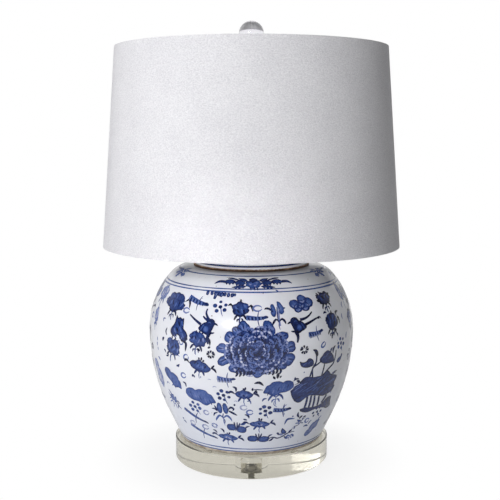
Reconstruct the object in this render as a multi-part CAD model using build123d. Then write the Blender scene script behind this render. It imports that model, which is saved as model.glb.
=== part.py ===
"""A ginger jar table lamp: a lidded porcelain jar on a thick clear disc.

A harp on top of it carries a drum shade, held down by a ball finial.
Millimetres, +Z up, origin on the table under the lamp's axis. The front of the lamp faces -Y.
Every level is worked out upwards from the table, so a changed height moves all that stands on it.
"""

from build123d import *
import math
import os

# ---------------------------------------------------------------- driving dimensions
# Clear base disc and what is under it
base_radius = 120.5
base_thickness = 34.0
base_bevel = 1.5
pad_radius = 7.0
pad_height = 2.0
pad_circle_radius = 95.0
pad_count = 4
counterbore_room = 3.0       # base washer's rim to the counterbore's side
counterbore_recess = 4.6     # rod's end to the disc's underside

# Threaded lamp rod and its hardware
rod_radius = 4.9
rod_bore_radius = 3.3
rod_clearance = 0.6          # rod to the holes of the big pieces
nut_clearance = 0.1          # rod to the nuts' thread line
washer_clearance = 0.3
rod_end_margin = 3.0         # rod showing below the base nut
base_washer_radius = 14.0
base_washer_thickness = 1.6
lock_washer_radius = 8.6
lock_washer_thickness = 1.8
lock_washer_slit = 1.2
lock_washer_slant = 20.0     # degrees that the slit leans
base_nut_flats = 17.0
base_nut_height = 5.0
nut_chamfer = 0.8

# Porcelain jar
jar_wall = 6.0
belly_radius = 159.4
lower_curve_radius = 303.5
lower_taper = 24.9           # degrees that the straight side below the belly leans from upright
lower_straight_length = 47.1
foot_edge = 1.2              # small bevel round the foot
foot_ring_width = 12.0
foot_ring_height = 5.0
jar_floor = 8.0
shoulder_curve_radius = 126.8
shoulder_sweep = 42.9        # degrees of the shoulder curve
crown_curve_radius = 36.6
crown_end = 88.0             # degrees: where the crown curve meets the flat round the mouth
mouth_flat = 9.9             # nearly flat ring from the crown curve to the clay rim
neck_height = 13.0
neck_gap = 2.6               # lid to the jar's neck inside it
lip_height = 3.8             # bare clay rim that stands round the lid's foot
lip_gap = 0.4                # rim to the lid inside it
seat_setback = 2.0           # soft ring's rim in from the foot's
seat_width = 9.0
seat_thickness = 0.8

# Cord outlet at the back of the jar
outlet_height = 24.0         # above the foot
outlet_clearance = 0.2       # grommet's barrel to the hole
grommet_bore_radius = 3.7
grommet_wall = 1.3
grommet_flange_width = 2.5
grommet_flange_thickness = 2.0
grommet_lip_width = 1.6
grommet_lip_thickness = 1.5
grommet_seat_gap = 0.1       # flat flange against the round wall outside
grommet_lip_gap = 0.4        # flat lip against the round wall inside

# Lid
lid_setback = 2.3            # the rim's thickness and its gap to the lid
lid_wall = 5.0
lid_side_height = 23.0
lid_inner_corner = 2.0
lid_crown_rise = 3.0
lid_flat_radius = 36.0

# Metal cap and neck over the lid
vase_cap_radius = 33.0
vase_cap_rim = 1.5
vase_cap_scoop = 1.4         # middle of the hollow curve, above the rim
vase_cap_height = 7.0
neck_tube_height = 24.0
neck_tube_radius = 8.0
neck_tube_bead_radius = 12.5
neck_tube_bead_height = 9.0
neck_tube_wall_gap = 0.4     # rod to the neck tube's bore

# Harp, its saddle and ferrules
saddle_thickness = 1.6
saddle_hub_radius = 12.0
saddle_width = 8.0
harp_leg_offset = 31.75      # half the distance between the harp's legs
harp_wire_radius = 2.0
harp_height = 254.0          # saddle to the top of the stud plate
saddle_post_height = 12.0
leg_end_gap = 0.3
harp_leg_straight = 38.0     # vertical part of each leg, above the saddle
harp_flare_radius = 70.0
harp_flare_angle = 28.0      # degrees outwards
harp_crown_start = 25.0      # degrees past vertical where the top curve starts
harp_top_half_width = 9.0
ferrule_length = 22.0
ferrule_radius = 4.2
ferrule_rim_radius = 4.9
ferrule_rim_height = 2.4
ferrule_edge = 0.8
ferrule_clearance = 0.45
ferrule_seat_gap = 0.2
stud_plate_radius = 11.0
stud_plate_thickness = 2.0
stud_radius = 3.175

# Locking nut and lamp socket
saddle_nut_flats = 17.0
saddle_nut_height = 3.2
socket_hub_radius = 6.6
socket_hub_height = 6.0
socket_cap_radius = 17.0
socket_cap_height = 20.0
socket_cap_side = 8.0        # straight part of the cap's side
socket_skin = 0.6
socket_shell_gap = 0.15
socket_shell_height = 34.0
socket_shell_overlap = 6.0
socket_liner_thickness = 0.7
socket_body_radius = 13.2
socket_body_height = 20.0
socket_body_lift = 3.0       # above the inside of the socket cap
socket_seat_gap = 0.2        # body to the cap's sloping inside
screw_shell_radius = 13.9
screw_shell_thickness = 0.4
screw_shell_height = 19.0
centre_contact_radius = 4.0
centre_contact_height = 1.6
terminal_radius = 2.6
terminal_height = 1.2
terminal_rise = 8.0          # above the bottom of the socket body
set_screw_radius = 1.5
set_screw_length = 4.0

# Turn switch
switch_rise = 14.0           # shaft's axis above the bottom of the socket body
switch_shaft_radius = 2.0
switch_window_radius = 4.5
switch_body_gap = 0.3
knob_gap = 1.2               # socket shell to knob
knob_radius = 6.5
knob_length = 12.0
knob_chamfer = 1.1
knob_collar = 3.0            # plain part behind the flutes
knob_flute_radius = 1.1
knob_flutes = 10
knob_socket_gap = 0.05
knob_socket_depth = 8.0

# Bulb
bulb_cap_radius = 12.9
bulb_cap_height = 17.0
bulb_cap_skin = 0.5
bulb_insulator_height = 3.0
bulb_insulator_radius = 9.0
bulb_tip_radius = 3.2
bulb_tip_height = 1.2
bulb_neck_radius = 13.6
bulb_neck_height = 8.0
bulb_globe_radius = 30.0
bulb_glass_wall = 0.9
bulb_waist_angle = 38.0      # degrees of the curve from the globe into the neck
bulb_waist_radius = 40.0

# Drum shade
shade_bottom_radius = 228.6
shade_top_radius = 207.0
shade_height = 300.0
cover_thickness = 0.8
liner_thickness = 1.0
laminate_gap = 0.05
shade_edge_cover = 0.8       # cloth folded over each edge
binding_depth = 14.0
ring_wire_radius = 1.5
ring_gap = 0.2               # wire ring to the cloth round it
spider_wire_radius = 1.6
spider_arms = 3
spider_hub_radius = 19.0
spider_hub_thickness = 1.6
spider_hole_clearance = 0.5
spider_drop = 10.0           # hub's top face below the shade's top edge
turning_gap = 0.2            # between faces that turn on each other
arm_notch_gap = 0.4

# Finial
finial_base_height = 13.5
finial_foot_radius = 8.5
finial_foot_height = 2.5
finial_waist_radius = 5.4
finial_cup_radius = 7.5
finial_cup_height = 2.6
finial_thread_clearance = 0.1
finial_thread_depth = 10.5
finial_insert_wall = 1.2
finial_insert_fit = 0.08     # insert to the finial base's bore
finial_insert_recess = 0.4   # at both ends
finial_ball_radius = 19.0
finial_ball_flat_radius = 6.0
finial_ball_gap = 0.05
stud_tip_gap = 0.3

# ---------------------------------------------------------------- levels, from the table up
base_bottom = pad_height
base_top = base_bottom + base_thickness
foot_level = base_top + seat_thickness
floor_top = foot_level + foot_ring_height + jar_floor
taper = math.radians(lower_taper)
taper_bottom = foot_level + foot_edge
taper_top = taper_bottom + lower_straight_length * math.cos(taper)
belly_level = taper_top + lower_curve_radius * math.sin(taper)
taper_top_radius = belly_radius - lower_curve_radius * (1 - math.cos(taper))
foot_radius = taper_top_radius - lower_straight_length * math.sin(taper)

shoulder_centre = (belly_radius - shoulder_curve_radius, belly_level)
crown_offset = shoulder_curve_radius - crown_curve_radius
crown_centre = (
    shoulder_centre[0] + crown_offset * math.cos(math.radians(shoulder_sweep)),
    shoulder_centre[1] + crown_offset * math.sin(math.radians(shoulder_sweep)),
)
lower_centre = (belly_radius - lower_curve_radius, belly_level)
crown_slope = math.radians(crown_end)
ledge_level = crown_centre[1] + crown_curve_radius * math.sin(crown_slope) + mouth_flat * math.cos(crown_slope)
ledge_radius = crown_centre[0] + crown_curve_radius * math.cos(crown_slope) - mouth_flat * math.sin(crown_slope)
lid_radius = ledge_radius - lid_setback
lid_corner_radius = lid_inner_corner + lid_wall
neck_radius = lid_radius - lid_wall - neck_gap
lid_top = ledge_level + lid_side_height + lid_corner_radius + lid_crown_rise
vase_cap_top = lid_top + vase_cap_height
saddle_bottom = vase_cap_top + neck_tube_height
saddle_top = saddle_bottom + saddle_thickness
saddle_nut_top = saddle_top + saddle_nut_height
socket_cap_bottom = saddle_nut_top
socket_cap_top = socket_cap_bottom + socket_cap_height
socket_shell_radius = socket_cap_radius - socket_skin - socket_shell_gap
socket_shell_bottom = socket_cap_top - socket_shell_overlap
socket_shell_top = socket_shell_bottom + socket_shell_height
socket_body_bottom = socket_cap_bottom + socket_hub_height + socket_body_lift
socket_body_top = socket_body_bottom + socket_body_height
screw_shell_top = socket_body_top + screw_shell_height
rod_top = socket_cap_bottom + socket_hub_height
switch_level = socket_body_bottom + switch_rise

bulb_tip_bottom = socket_body_top + centre_contact_height
bulb_insulator_bottom = bulb_tip_bottom + bulb_tip_height
bulb_cap_bottom = bulb_insulator_bottom + bulb_insulator_height
bulb_cap_top = bulb_cap_bottom + bulb_cap_height

stud_plate_top = saddle_top + harp_height
stud_plate_bottom = stud_plate_top - stud_plate_thickness
hub_bottom = stud_plate_top + turning_gap
hub_top = hub_bottom + spider_hub_thickness
shade_top = hub_top + spider_drop
shade_bottom = shade_top - shade_height
finial_bottom = hub_top + turning_gap
finial_base_top = finial_bottom + finial_base_height
ball_drop = math.sqrt(finial_ball_radius**2 - finial_ball_flat_radius**2)
ball_centre = finial_base_top + finial_ball_gap + ball_drop
thread_top = finial_bottom + finial_thread_depth
stud_top = thread_top - stud_tip_gap

rod_bottom = base_bottom + counterbore_recess
base_nut_bottom = rod_bottom + rod_end_margin
lock_washer_bottom = base_nut_bottom + base_nut_height
base_washer_bottom = lock_washer_bottom + lock_washer_thickness
counterbore_top = base_washer_bottom + base_washer_thickness
counterbore_radius = base_washer_radius + counterbore_room


# ---------------------------------------------------------------- helpers
def at(r, z):
    """A point of a turned outline: r from the axis, z up."""
    return Vector(r, 0, z)


def on_circle(centre, radius, degrees):
    """The outline point at an angle on a circle; 0 points away from the axis and 90 points up."""
    a = math.radians(degrees)
    return at(centre[0] + radius * math.cos(a), centre[1] + radius * math.sin(a))


def arc(centre, radius, start, end):
    """An outline arc between two angles, in degrees."""
    middle = (start + end) / 2
    return ThreePointArc(
        on_circle(centre, radius, start),
        on_circle(centre, radius, middle),
        on_circle(centre, radius, end),
    )


def turned(*edges):
    """A solid turned about the lamp's axis from a closed outline."""
    return revolve(make_face(edges), Axis.Z)


def turned_outline(*points):
    """A solid turned from straight lines through (r, z) points."""
    return turned(Polyline(*[at(r, z) for r, z in points], close=True))


def tube(outer, inner, bottom, top):
    """A plain ring with square edges."""
    return turned_outline((inner, bottom), (outer, bottom), (outer, top), (inner, top))


def upright(radius, bottom, top):
    """A plain round bar on the lamp's axis."""
    return Pos(0, 0, bottom) * Cylinder(radius, top - bottom, align=(Align.CENTER, Align.CENTER, Align.MIN))


def rod_between(start, end, radius):
    """A round bar from one point to another."""
    start, end = Vector(*start), Vector(*end)
    bar = Cylinder(radius, (end - start).length, align=(Align.CENTER, Align.CENTER, Align.MIN))
    return Plane(origin=start, z_dir=end - start).location * bar


def hex_nut(flats, bottom, height, bore):
    """A hexagon nut, its corners turned down at both faces."""
    corner = flats / 2 / math.cos(math.pi / 6)
    prism = Pos(0, 0, bottom) * extrude(RegularPolygon(corner, 6), height)
    turn = turned_outline(
        (bore, bottom),
        (corner - nut_chamfer, bottom),
        (corner, bottom + nut_chamfer / 2),
        (corner, bottom + height - nut_chamfer / 2),
        (corner - nut_chamfer, bottom + height),
        (bore, bottom + height),
    )
    return prism & turn


def mirrored_pair(shape):
    """The same piece at +X and -X, as one group of separate solids."""
    return Compound(children=[shape, mirror(shape, about=Plane.YZ)])


# ---------------------------------------------------------------- base
def base_disc():
    """The thick clear disc, bored for the rod and counterbored from below for its nut."""
    bore = rod_radius + rod_clearance
    return turned_outline(
        (counterbore_radius, base_bottom),
        (base_radius - base_bevel, base_bottom),
        (base_radius, base_bottom + base_bevel),
        (base_radius, base_top - base_bevel),
        (base_radius - base_bevel, base_top),
        (bore, base_top),
        (bore, counterbore_top),
        (counterbore_radius, counterbore_top),
    )


def base_pads():
    """Clear bumpers under the disc, as one group."""
    pad = upright(pad_radius, 0, pad_height)
    turn = 360 / pad_count
    pads = [
        Rot(0, 0, turn * (i + 0.5)) * Pos(pad_circle_radius, 0, 0) * pad
        for i in range(pad_count)
    ]
    return Compound(children=pads)


def lock_washer():
    """A split spring washer."""
    ring = tube(
        lock_washer_radius,
        rod_radius + washer_clearance,
        lock_washer_bottom,
        base_washer_bottom,
    )
    middle = (lock_washer_bottom + base_washer_bottom) / 2
    slit = Pos(lock_washer_radius / 2, 0, middle) * Rot(lock_washer_slant, 0, 0) * Box(
        lock_washer_radius, lock_washer_slit, 3 * lock_washer_thickness
    )
    return ring - slit


# ---------------------------------------------------------------- jar and lid
def jar_curves(inset):
    """Radii of the jar's lower, shoulder and crown curves, moved inwards by inset."""
    return lower_curve_radius - inset, shoulder_curve_radius - inset, crown_curve_radius - inset


def outlet_plane():
    """The plane square to the taper at the jar's back, its origin where the outlet's axis leaves the wall."""
    height = foot_level + outlet_height
    radius = foot_radius + (outlet_height - foot_edge) * math.tan(taper)
    outwards = Vector(0, math.cos(taper), -math.sin(taper))
    return Plane(origin=(0, radius, height), x_dir=(1, 0, 0), z_dir=outwards)


def jar():
    """The porcelain jar: foot ring, pierced floor, tapering side, round shoulder, rimmed seat and neck."""
    lower, shoulder, crown = jar_curves(0)
    lower_in, shoulder_in, crown_in = jar_curves(jar_wall)
    hole = rod_radius + rod_clearance
    neck_top = ledge_level + neck_height
    neck_inner = neck_radius - jar_wall
    taper_out = on_circle(lower_centre, lower, -lower_taper)
    taper_in = on_circle(lower_centre, lower_in, -lower_taper)
    crown_out = on_circle(crown_centre, crown, crown_end)
    crown_inside = on_circle(crown_centre, crown_in, crown_end)
    neck_foot = crown_inside.Z + (crown_inside.X - neck_inner) / math.tan(crown_slope)
    floor_side = taper_in.X - (taper_in.Z - floor_top) * math.tan(taper)
    ring_inner = foot_radius - foot_ring_width
    ring_top = foot_level + foot_ring_height
    lip_inner = lid_radius + lip_gap
    lip_round = (ledge_radius - lip_inner) / 2
    lip = (lip_inner + lip_round, ledge_level + lip_height - lip_round)
    body = turned(
        Polyline(
            taper_out,
            at(foot_radius, taper_bottom),
            at(foot_radius - foot_edge, foot_level),
            at(ring_inner, foot_level),
            at(ring_inner, ring_top),
            at(hole, ring_top),
            at(hole, floor_top),
            at(floor_side, floor_top),
            taper_in,
        ),
        arc(lower_centre, lower_in, -lower_taper, 0),
        arc(shoulder_centre, shoulder_in, 0, shoulder_sweep),
        arc(crown_centre, crown_in, shoulder_sweep, crown_end),
        Polyline(
            crown_inside,
            at(neck_inner, neck_foot),
            at(neck_inner, neck_top),
            at(neck_radius, neck_top),
            at(neck_radius, ledge_level),
            at(lip_inner, ledge_level),
            at(lip_inner, lip[1]),
        ),
        arc(lip, lip_round, 180, 0),
        Polyline(at(ledge_radius, lip[1]), at(ledge_radius, ledge_level), crown_out),
        arc(crown_centre, crown, crown_end, shoulder_sweep),
        arc(shoulder_centre, shoulder, shoulder_sweep, 0),
        arc(lower_centre, lower, 0, -lower_taper),
    )
    outlet = outlet_plane().location * Cylinder(grommet_barrel_radius + outlet_clearance, 4 * jar_wall)
    return body - outlet


grommet_barrel_radius = grommet_bore_radius + grommet_wall


def cord_grommet():
    """The rubber grommet in the jar's back, that the cord passes through."""
    grommet_flange_radius = grommet_barrel_radius + grommet_flange_width
    grommet_lip_radius = grommet_barrel_radius + grommet_lip_width
    flange_bottom = grommet_seat_gap
    flange_top = flange_bottom + grommet_flange_thickness
    lip_top = -jar_wall - grommet_lip_gap
    lip_bottom = lip_top - grommet_lip_thickness
    soft_edge = grommet_flange_thickness / 2
    ring = turned_outline(
        (grommet_bore_radius, lip_bottom),
        (grommet_lip_radius, lip_bottom),
        (grommet_lip_radius, lip_top),
        (grommet_barrel_radius, lip_top),
        (grommet_barrel_radius, flange_bottom),
        (grommet_flange_radius, flange_bottom),
        (grommet_flange_radius, flange_top - soft_edge),
        (grommet_flange_radius - soft_edge, flange_top),
        (grommet_bore_radius, flange_top),
    )
    return outlet_plane().location * ring


def lid():
    """The porcelain lid: a cap over the jar's neck, drilled for the rod."""
    side_top = ledge_level + lid_side_height
    hole = rod_radius + rod_clearance
    corner = (lid_radius - lid_corner_radius, side_top)
    crown_level = side_top + lid_corner_radius
    return turned(
        Polyline(
            at(lid_radius, side_top),
            at(lid_radius, ledge_level),
            at(lid_radius - lid_wall, ledge_level),
            at(lid_radius - lid_wall, side_top),
        ),
        arc(corner, lid_inner_corner, 0, 90),
        Polyline(
            at(corner[0], crown_level - lid_wall),
            at(lid_flat_radius, lid_top - lid_wall),
            at(hole, lid_top - lid_wall),
            at(hole, lid_top),
            at(lid_flat_radius, lid_top),
            at(corner[0], crown_level),
        ),
        arc(corner, lid_corner_radius, 90, 0),
    )


# ---------------------------------------------------------------- metal neck, harp and saddle
def vase_cap():
    """The spun metal cap on top of the lid."""
    hole = rod_radius + rod_clearance
    rim_top = lid_top + vase_cap_rim
    rise = vase_cap_height - vase_cap_rim
    top_radius = neck_tube_radius + rise
    hollow = (top_radius + vase_cap_radius) / 2
    return turned(
        Polyline(
            at(top_radius, vase_cap_top),
            at(hole, vase_cap_top),
            at(hole, lid_top),
            at(vase_cap_radius, lid_top),
            at(vase_cap_radius, rim_top),
        ),
        ThreePointArc(
            at(vase_cap_radius, rim_top),
            at(hollow, rim_top + vase_cap_scoop),
            at(top_radius, vase_cap_top),
        ),
    )


def neck_tube():
    """The turned neck between the vase cap and the harp's saddle, with a bead at its middle."""
    bore = rod_radius + neck_tube_wall_gap
    middle = (vase_cap_top + saddle_bottom) / 2
    bead_low = middle - neck_tube_bead_height / 2
    bead_high = middle + neck_tube_bead_height / 2
    return turned(
        Polyline(
            at(neck_tube_radius, bead_low),
            at(neck_tube_radius, vase_cap_top),
            at(bore, vase_cap_top),
            at(bore, saddle_bottom),
            at(neck_tube_radius, saddle_bottom),
            at(neck_tube_radius, bead_high),
        ),
        ThreePointArc(
            at(neck_tube_radius, bead_high),
            at(neck_tube_bead_radius, middle),
            at(neck_tube_radius, bead_low),
        ),
    )


def harp_saddle():
    """The flat saddle with an upright post at each end."""
    strip = SlotCenterToCenter(2 * harp_leg_offset, saddle_width)
    plate = Pos(0, 0, saddle_bottom) * extrude(strip, saddle_thickness)
    hub = upright(saddle_hub_radius, saddle_bottom, saddle_top)
    hole = upright(rod_radius + washer_clearance, saddle_bottom, saddle_top)
    post = upright(harp_wire_radius, saddle_top, saddle_top + saddle_post_height)
    posts = Pos(harp_leg_offset, 0, 0) * post + Pos(-harp_leg_offset, 0, 0) * post
    return plate + hub + posts - hole


def bend(start, heading, radius, turn):
    """A wire's arc in the XZ plane, turning left if turn is positive, with its end and its heading there."""
    side = math.copysign(1, turn)

    def point(angle):
        a0, a1 = math.radians(heading), math.radians(heading + angle)
        return at(
            start.X + side * radius * (math.sin(a1) - math.sin(a0)),
            start.Z - side * radius * (math.cos(a1) - math.cos(a0)),
        )

    return ThreePointArc(start, point(turn / 2), point(turn)), point(turn), heading + turn


def harp_radii(start):
    """Radii of the harp's side and top curves, so that the wire ends level under the stud plate."""
    flare, crown = math.radians(90 - harp_flare_angle), math.radians(90 + harp_crown_start)
    side_x, side_z = math.sin(crown) - math.sin(flare), math.cos(flare) - math.cos(crown)
    top_x, top_z = -math.sin(crown), 1 + math.cos(crown)
    reach_x = harp_top_half_width - start.X
    reach_z = stud_plate_bottom - harp_wire_radius - start.Z
    scale = side_x * top_z - top_x * side_z
    return (reach_x * top_z - top_x * reach_z) / scale, (side_x * reach_z - reach_x * side_z) / scale


def harp_bow():
    """The harp: one bent wire, from the saddle's post at one side over the top to the other."""
    leg_start = at(harp_leg_offset, saddle_top + saddle_post_height + leg_end_gap)
    leg_end = at(harp_leg_offset, saddle_top + harp_leg_straight)
    flare, flare_end, heading = bend(leg_end, 90, harp_flare_radius, -harp_flare_angle)
    side_radius, top_radius = harp_radii(flare_end)
    side, side_end, heading = bend(flare_end, heading, side_radius, harp_flare_angle + harp_crown_start)
    top, top_end, heading = bend(side_end, heading, top_radius, 90 - harp_crown_start)
    half = [Line(leg_start, leg_end), flare, side, top, Line(top_end, at(0, top_end.Z))]
    section = Plane(origin=leg_start, z_dir=(0, 0, 1)) * Circle(harp_wire_radius)
    limb = sweep(section, path=Wire([piece.edge() for piece in half]))
    return limb + mirror(limb, about=Plane.YZ)


def harp_stud():
    """The riveted plate and threaded stud on top of the harp."""
    plate = upright(stud_plate_radius, stud_plate_bottom, stud_plate_top)
    return plate + upright(stud_radius, stud_plate_top, stud_top)


def ferrule():
    """A sliding sleeve that locks one leg of the harp to its post, drawn round the lamp's axis."""
    bottom = saddle_top + ferrule_seat_gap
    top = bottom + ferrule_length
    bore = harp_wire_radius + ferrule_clearance
    neck = bottom + ferrule_rim_height
    return turned_outline(
        (bore, bottom),
        (ferrule_rim_radius, bottom),
        (ferrule_rim_radius, neck - ferrule_edge),
        (ferrule_radius, neck),
        (ferrule_radius, top - ferrule_edge),
        (ferrule_radius - ferrule_edge, top),
        (bore, top),
    )


# ---------------------------------------------------------------- socket and switch
def switch_window(radius):
    """The round hole at the socket's front that the switch shaft passes through."""
    depth = 2 * socket_cap_radius
    return rod_between((0, 0, switch_level), (0, -depth, switch_level), radius)


def socket_cap():
    """The bowl-shaped lower shell of the socket, with a threaded hub."""
    side_bottom = socket_cap_top - socket_cap_side
    hub_top_level = socket_cap_bottom + socket_hub_height
    bore = rod_radius + nut_clearance
    inner = socket_cap_radius - socket_skin
    hub = tube(socket_hub_radius, bore, socket_cap_bottom, hub_top_level)
    bowl = turned_outline(
        (bore, hub_top_level - socket_skin),
        (socket_hub_radius, hub_top_level - socket_skin),
        (socket_cap_radius, side_bottom),
        (socket_cap_radius, socket_cap_top),
        (inner, socket_cap_top),
        (inner, side_bottom + socket_skin / 2),
        (socket_hub_radius, hub_top_level),
        (bore, hub_top_level),
    )
    return hub + bowl - switch_window(switch_window_radius)


def socket_shell():
    """The straight upper shell of the socket."""
    shell = tube(
        socket_shell_radius, socket_shell_radius - socket_skin, socket_shell_bottom, socket_shell_top
    )
    return shell - switch_window(switch_window_radius)


def socket_liner():
    """The insulating sleeve inside the upper shell."""
    outer = socket_shell_radius - socket_skin - socket_shell_gap
    liner = tube(outer, outer - socket_liner_thickness, socket_shell_bottom, socket_shell_top)
    return liner - switch_window(switch_window_radius)


def socket_body():
    """The moulded inner body that holds the switch and the contacts, coned below to sit in the cap."""
    slope_bottom = socket_cap_bottom + socket_hub_height
    slope_top = socket_cap_top - socket_cap_side + socket_skin / 2
    slope = (socket_cap_radius - socket_skin - socket_hub_radius) / (slope_top - slope_bottom)
    cone_bottom = socket_hub_radius + slope * (socket_body_bottom - slope_bottom) - socket_seat_gap
    cone_top = socket_body_bottom + (socket_body_radius - cone_bottom) / slope
    body = turned_outline(
        (0, socket_body_bottom),
        (cone_bottom, socket_body_bottom),
        (socket_body_radius, cone_top),
        (socket_body_radius, socket_body_top),
        (0, socket_body_top),
    )
    shaft_hole = rod_between(
        (0, -socket_body_radius / 2, switch_level),
        (0, -2 * socket_body_radius, switch_level),
        switch_shaft_radius + switch_body_gap,
    )
    return body - shaft_hole


def screw_shell():
    """The threaded metal cup that the bulb screws into, standing on the socket body."""
    inner = screw_shell_radius - screw_shell_thickness
    cup_floor = socket_body_top + screw_shell_thickness
    hole = centre_contact_radius + 2 * screw_shell_thickness
    return turned_outline(
        (hole, socket_body_top),
        (screw_shell_radius, socket_body_top),
        (screw_shell_radius, screw_shell_top),
        (inner, screw_shell_top),
        (inner, cup_floor),
        (hole, cup_floor),
    )


def terminal_screws():
    """The two wiring screws at the sides of the socket body."""
    level = socket_body_bottom + terminal_rise
    head = rod_between(
        (socket_body_radius, 0, level), (socket_body_radius + terminal_height, 0, level), terminal_radius
    )
    return mirrored_pair(head)


def set_screw():
    """The small screw that locks the socket's hub on the rod."""
    level = socket_cap_bottom + socket_hub_height / 2 - socket_skin / 2
    return rod_between(
        (0, socket_hub_radius, level), (0, socket_hub_radius + set_screw_length, level), set_screw_radius
    )


knob_start = -(socket_cap_radius + knob_gap)
knob_bore_end = knob_start - knob_socket_depth


def switch_shaft():
    """The switch's metal shaft, from inside the socket body into the knob."""
    inner_end = -(socket_body_radius / 2 + switch_body_gap)
    return rod_between(
        (0, inner_end, switch_level),
        (0, knob_bore_end + knob_socket_gap, switch_level),
        switch_shaft_radius,
    )


def switch_knob():
    """The fluted turn knob."""
    outer_end = knob_start - knob_length
    knob = rod_between((0, knob_start, switch_level), (0, outer_end, switch_level), knob_radius)
    knob = chamfer(knob.edges().filter_by(GeomType.CIRCLE).group_by(Axis.Y)[0], knob_chamfer)
    knob -= rod_between(
        (0, knob_start, switch_level),
        (0, knob_bore_end, switch_level),
        switch_shaft_radius + knob_socket_gap,
    )
    for i in range(knob_flutes):
        a = 2 * math.pi * i / knob_flutes
        x = knob_radius * math.cos(a)
        z = switch_level + knob_radius * math.sin(a)
        flute_start = knob_start - knob_collar
        knob -= rod_between((x, flute_start, z), (x, outer_end, z), knob_flute_radius)
    return knob


# ---------------------------------------------------------------- bulb
def bulb_glass():
    """The frosted bulb: a round globe that curves into a narrow neck, open where the screw cap holds it."""
    reach = bulb_globe_radius + bulb_waist_radius
    waist_drop = math.acos((bulb_neck_radius + bulb_waist_radius) / reach)
    waist_level = bulb_cap_top + bulb_neck_height
    globe_level = waist_level + reach * math.sin(waist_drop)
    globe = (0, globe_level)
    waist = (bulb_neck_radius + bulb_waist_radius, waist_level)
    joint = -math.degrees(waist_drop)
    wall = bulb_glass_wall
    inner_globe = bulb_globe_radius - wall
    return turned(
        arc(globe, bulb_globe_radius, 90, joint),
        arc(waist, bulb_waist_radius, 180 + joint, 180),
        Polyline(
            at(bulb_neck_radius, waist_level),
            at(bulb_neck_radius, bulb_cap_top),
            at(bulb_neck_radius - wall, bulb_cap_top),
            at(bulb_neck_radius - wall, waist_level),
        ),
        arc(waist, bulb_waist_radius + wall, 180, 180 + joint),
        arc(globe, inner_globe, joint, 90),
        Line(at(0, globe_level + inner_globe), at(0, globe_level + bulb_globe_radius)),
    )


def bulb_cap():
    """The bulb's metal screw cap."""
    inner = bulb_cap_radius - bulb_cap_skin
    floor = bulb_cap_bottom + bulb_cap_skin
    return turned_outline(
        (bulb_insulator_radius - bulb_cap_skin, bulb_cap_bottom),
        (bulb_cap_radius, bulb_cap_bottom),
        (bulb_cap_radius, bulb_cap_top),
        (inner, bulb_cap_top),
        (inner, floor),
        (bulb_insulator_radius - bulb_cap_skin, floor),
    )


def bulb_insulator():
    """The black glass cone under the screw cap."""
    return turned_outline(
        (0, bulb_insulator_bottom),
        (bulb_tip_radius + bulb_cap_skin, bulb_insulator_bottom),
        (bulb_insulator_radius, bulb_cap_bottom),
        (0, bulb_cap_bottom),
    )


# ---------------------------------------------------------------- shade
shade_lean = (shade_bottom_radius - shade_top_radius) / shade_height


def shade_radius(z):
    """The shade's outer radius at a level."""
    return shade_bottom_radius - shade_lean * (z - shade_bottom)


def cone_shell(inset, thickness, bottom, top):
    """A thin shell that leans with the shade's side, its outer face inset from the shade's."""
    low, high = shade_radius(bottom) - inset, shade_radius(top) - inset
    return turned_outline((low - thickness, bottom), (low, bottom), (high, top), (high - thickness, top))


liner_inset = cover_thickness + laminate_gap
inside_inset = liner_inset + liner_thickness


def shade_cover():
    """The woven outer cover, between the folded edges."""
    return cone_shell(0, cover_thickness, shade_bottom + shade_edge_cover, shade_top - shade_edge_cover)


def shade_liner():
    """The stiff white sheet that backs the cover."""
    return cone_shell(
        liner_inset, liner_thickness, shade_bottom + shade_edge_cover, shade_top - shade_edge_cover
    )


def edge_binding(edge, inwards):
    """Cloth folded over an edge and turned in round its ring; inwards is 1 at the bottom, -1 at the top."""
    fold = edge + inwards * shade_edge_cover
    tail = edge + inwards * binding_depth
    leg = inside_inset + 2 * ring_wire_radius + 3 * ring_gap
    points = [
        (shade_radius(edge), edge),
        (shade_radius(fold), fold),
        (shade_radius(fold) - leg, fold),
        (shade_radius(tail) - leg, tail),
        (shade_radius(tail) - leg - shade_edge_cover, tail),
        (shade_radius(edge) - leg - shade_edge_cover, edge),
    ]
    return turned_outline(*points)


def wire_ring(edge, inwards):
    """The wire ring inside a folded edge."""
    level = edge + inwards * (shade_edge_cover + ring_gap + ring_wire_radius)
    radius = shade_radius(level) - inside_inset - ring_gap - ring_wire_radius
    return Pos(0, 0, level) * Torus(radius, ring_wire_radius), radius, level


def spider_arm_bars(extra=0.0):
    """The spider's arms, from the hub's edge up to the top ring."""
    ring, ring_radius, ring_level = wire_ring(shade_top, -1)
    hub_level = hub_top - spider_hub_thickness / 2
    start = spider_hub_radius - spider_wire_radius
    end = ring_radius - ring_wire_radius - ring_gap
    bars = []
    for i in range(spider_arms):
        a = math.radians(90 + 360 * i / spider_arms)
        bars.append(
            rod_between(
                (start * math.cos(a), start * math.sin(a), hub_level),
                (end * math.cos(a), end * math.sin(a), ring_level),
                spider_wire_radius + extra,
            )
        )
    return bars


def spider():
    """The shade's carrier: a washer hub with three arms up to the top ring."""
    hub = tube(spider_hub_radius, stud_radius + spider_hole_clearance, hub_bottom, hub_top)
    return hub + spider_arm_bars()


def top_binding():
    """The top edge's folded cloth, notched round the spider's arms."""
    band = edge_binding(shade_top, -1)
    for bar in spider_arm_bars(arm_notch_gap):
        band -= bar
    return band


# ---------------------------------------------------------------- finial
finial_insert_bore = stud_radius + finial_thread_clearance
finial_insert_radius = finial_insert_bore + finial_insert_wall


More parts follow.
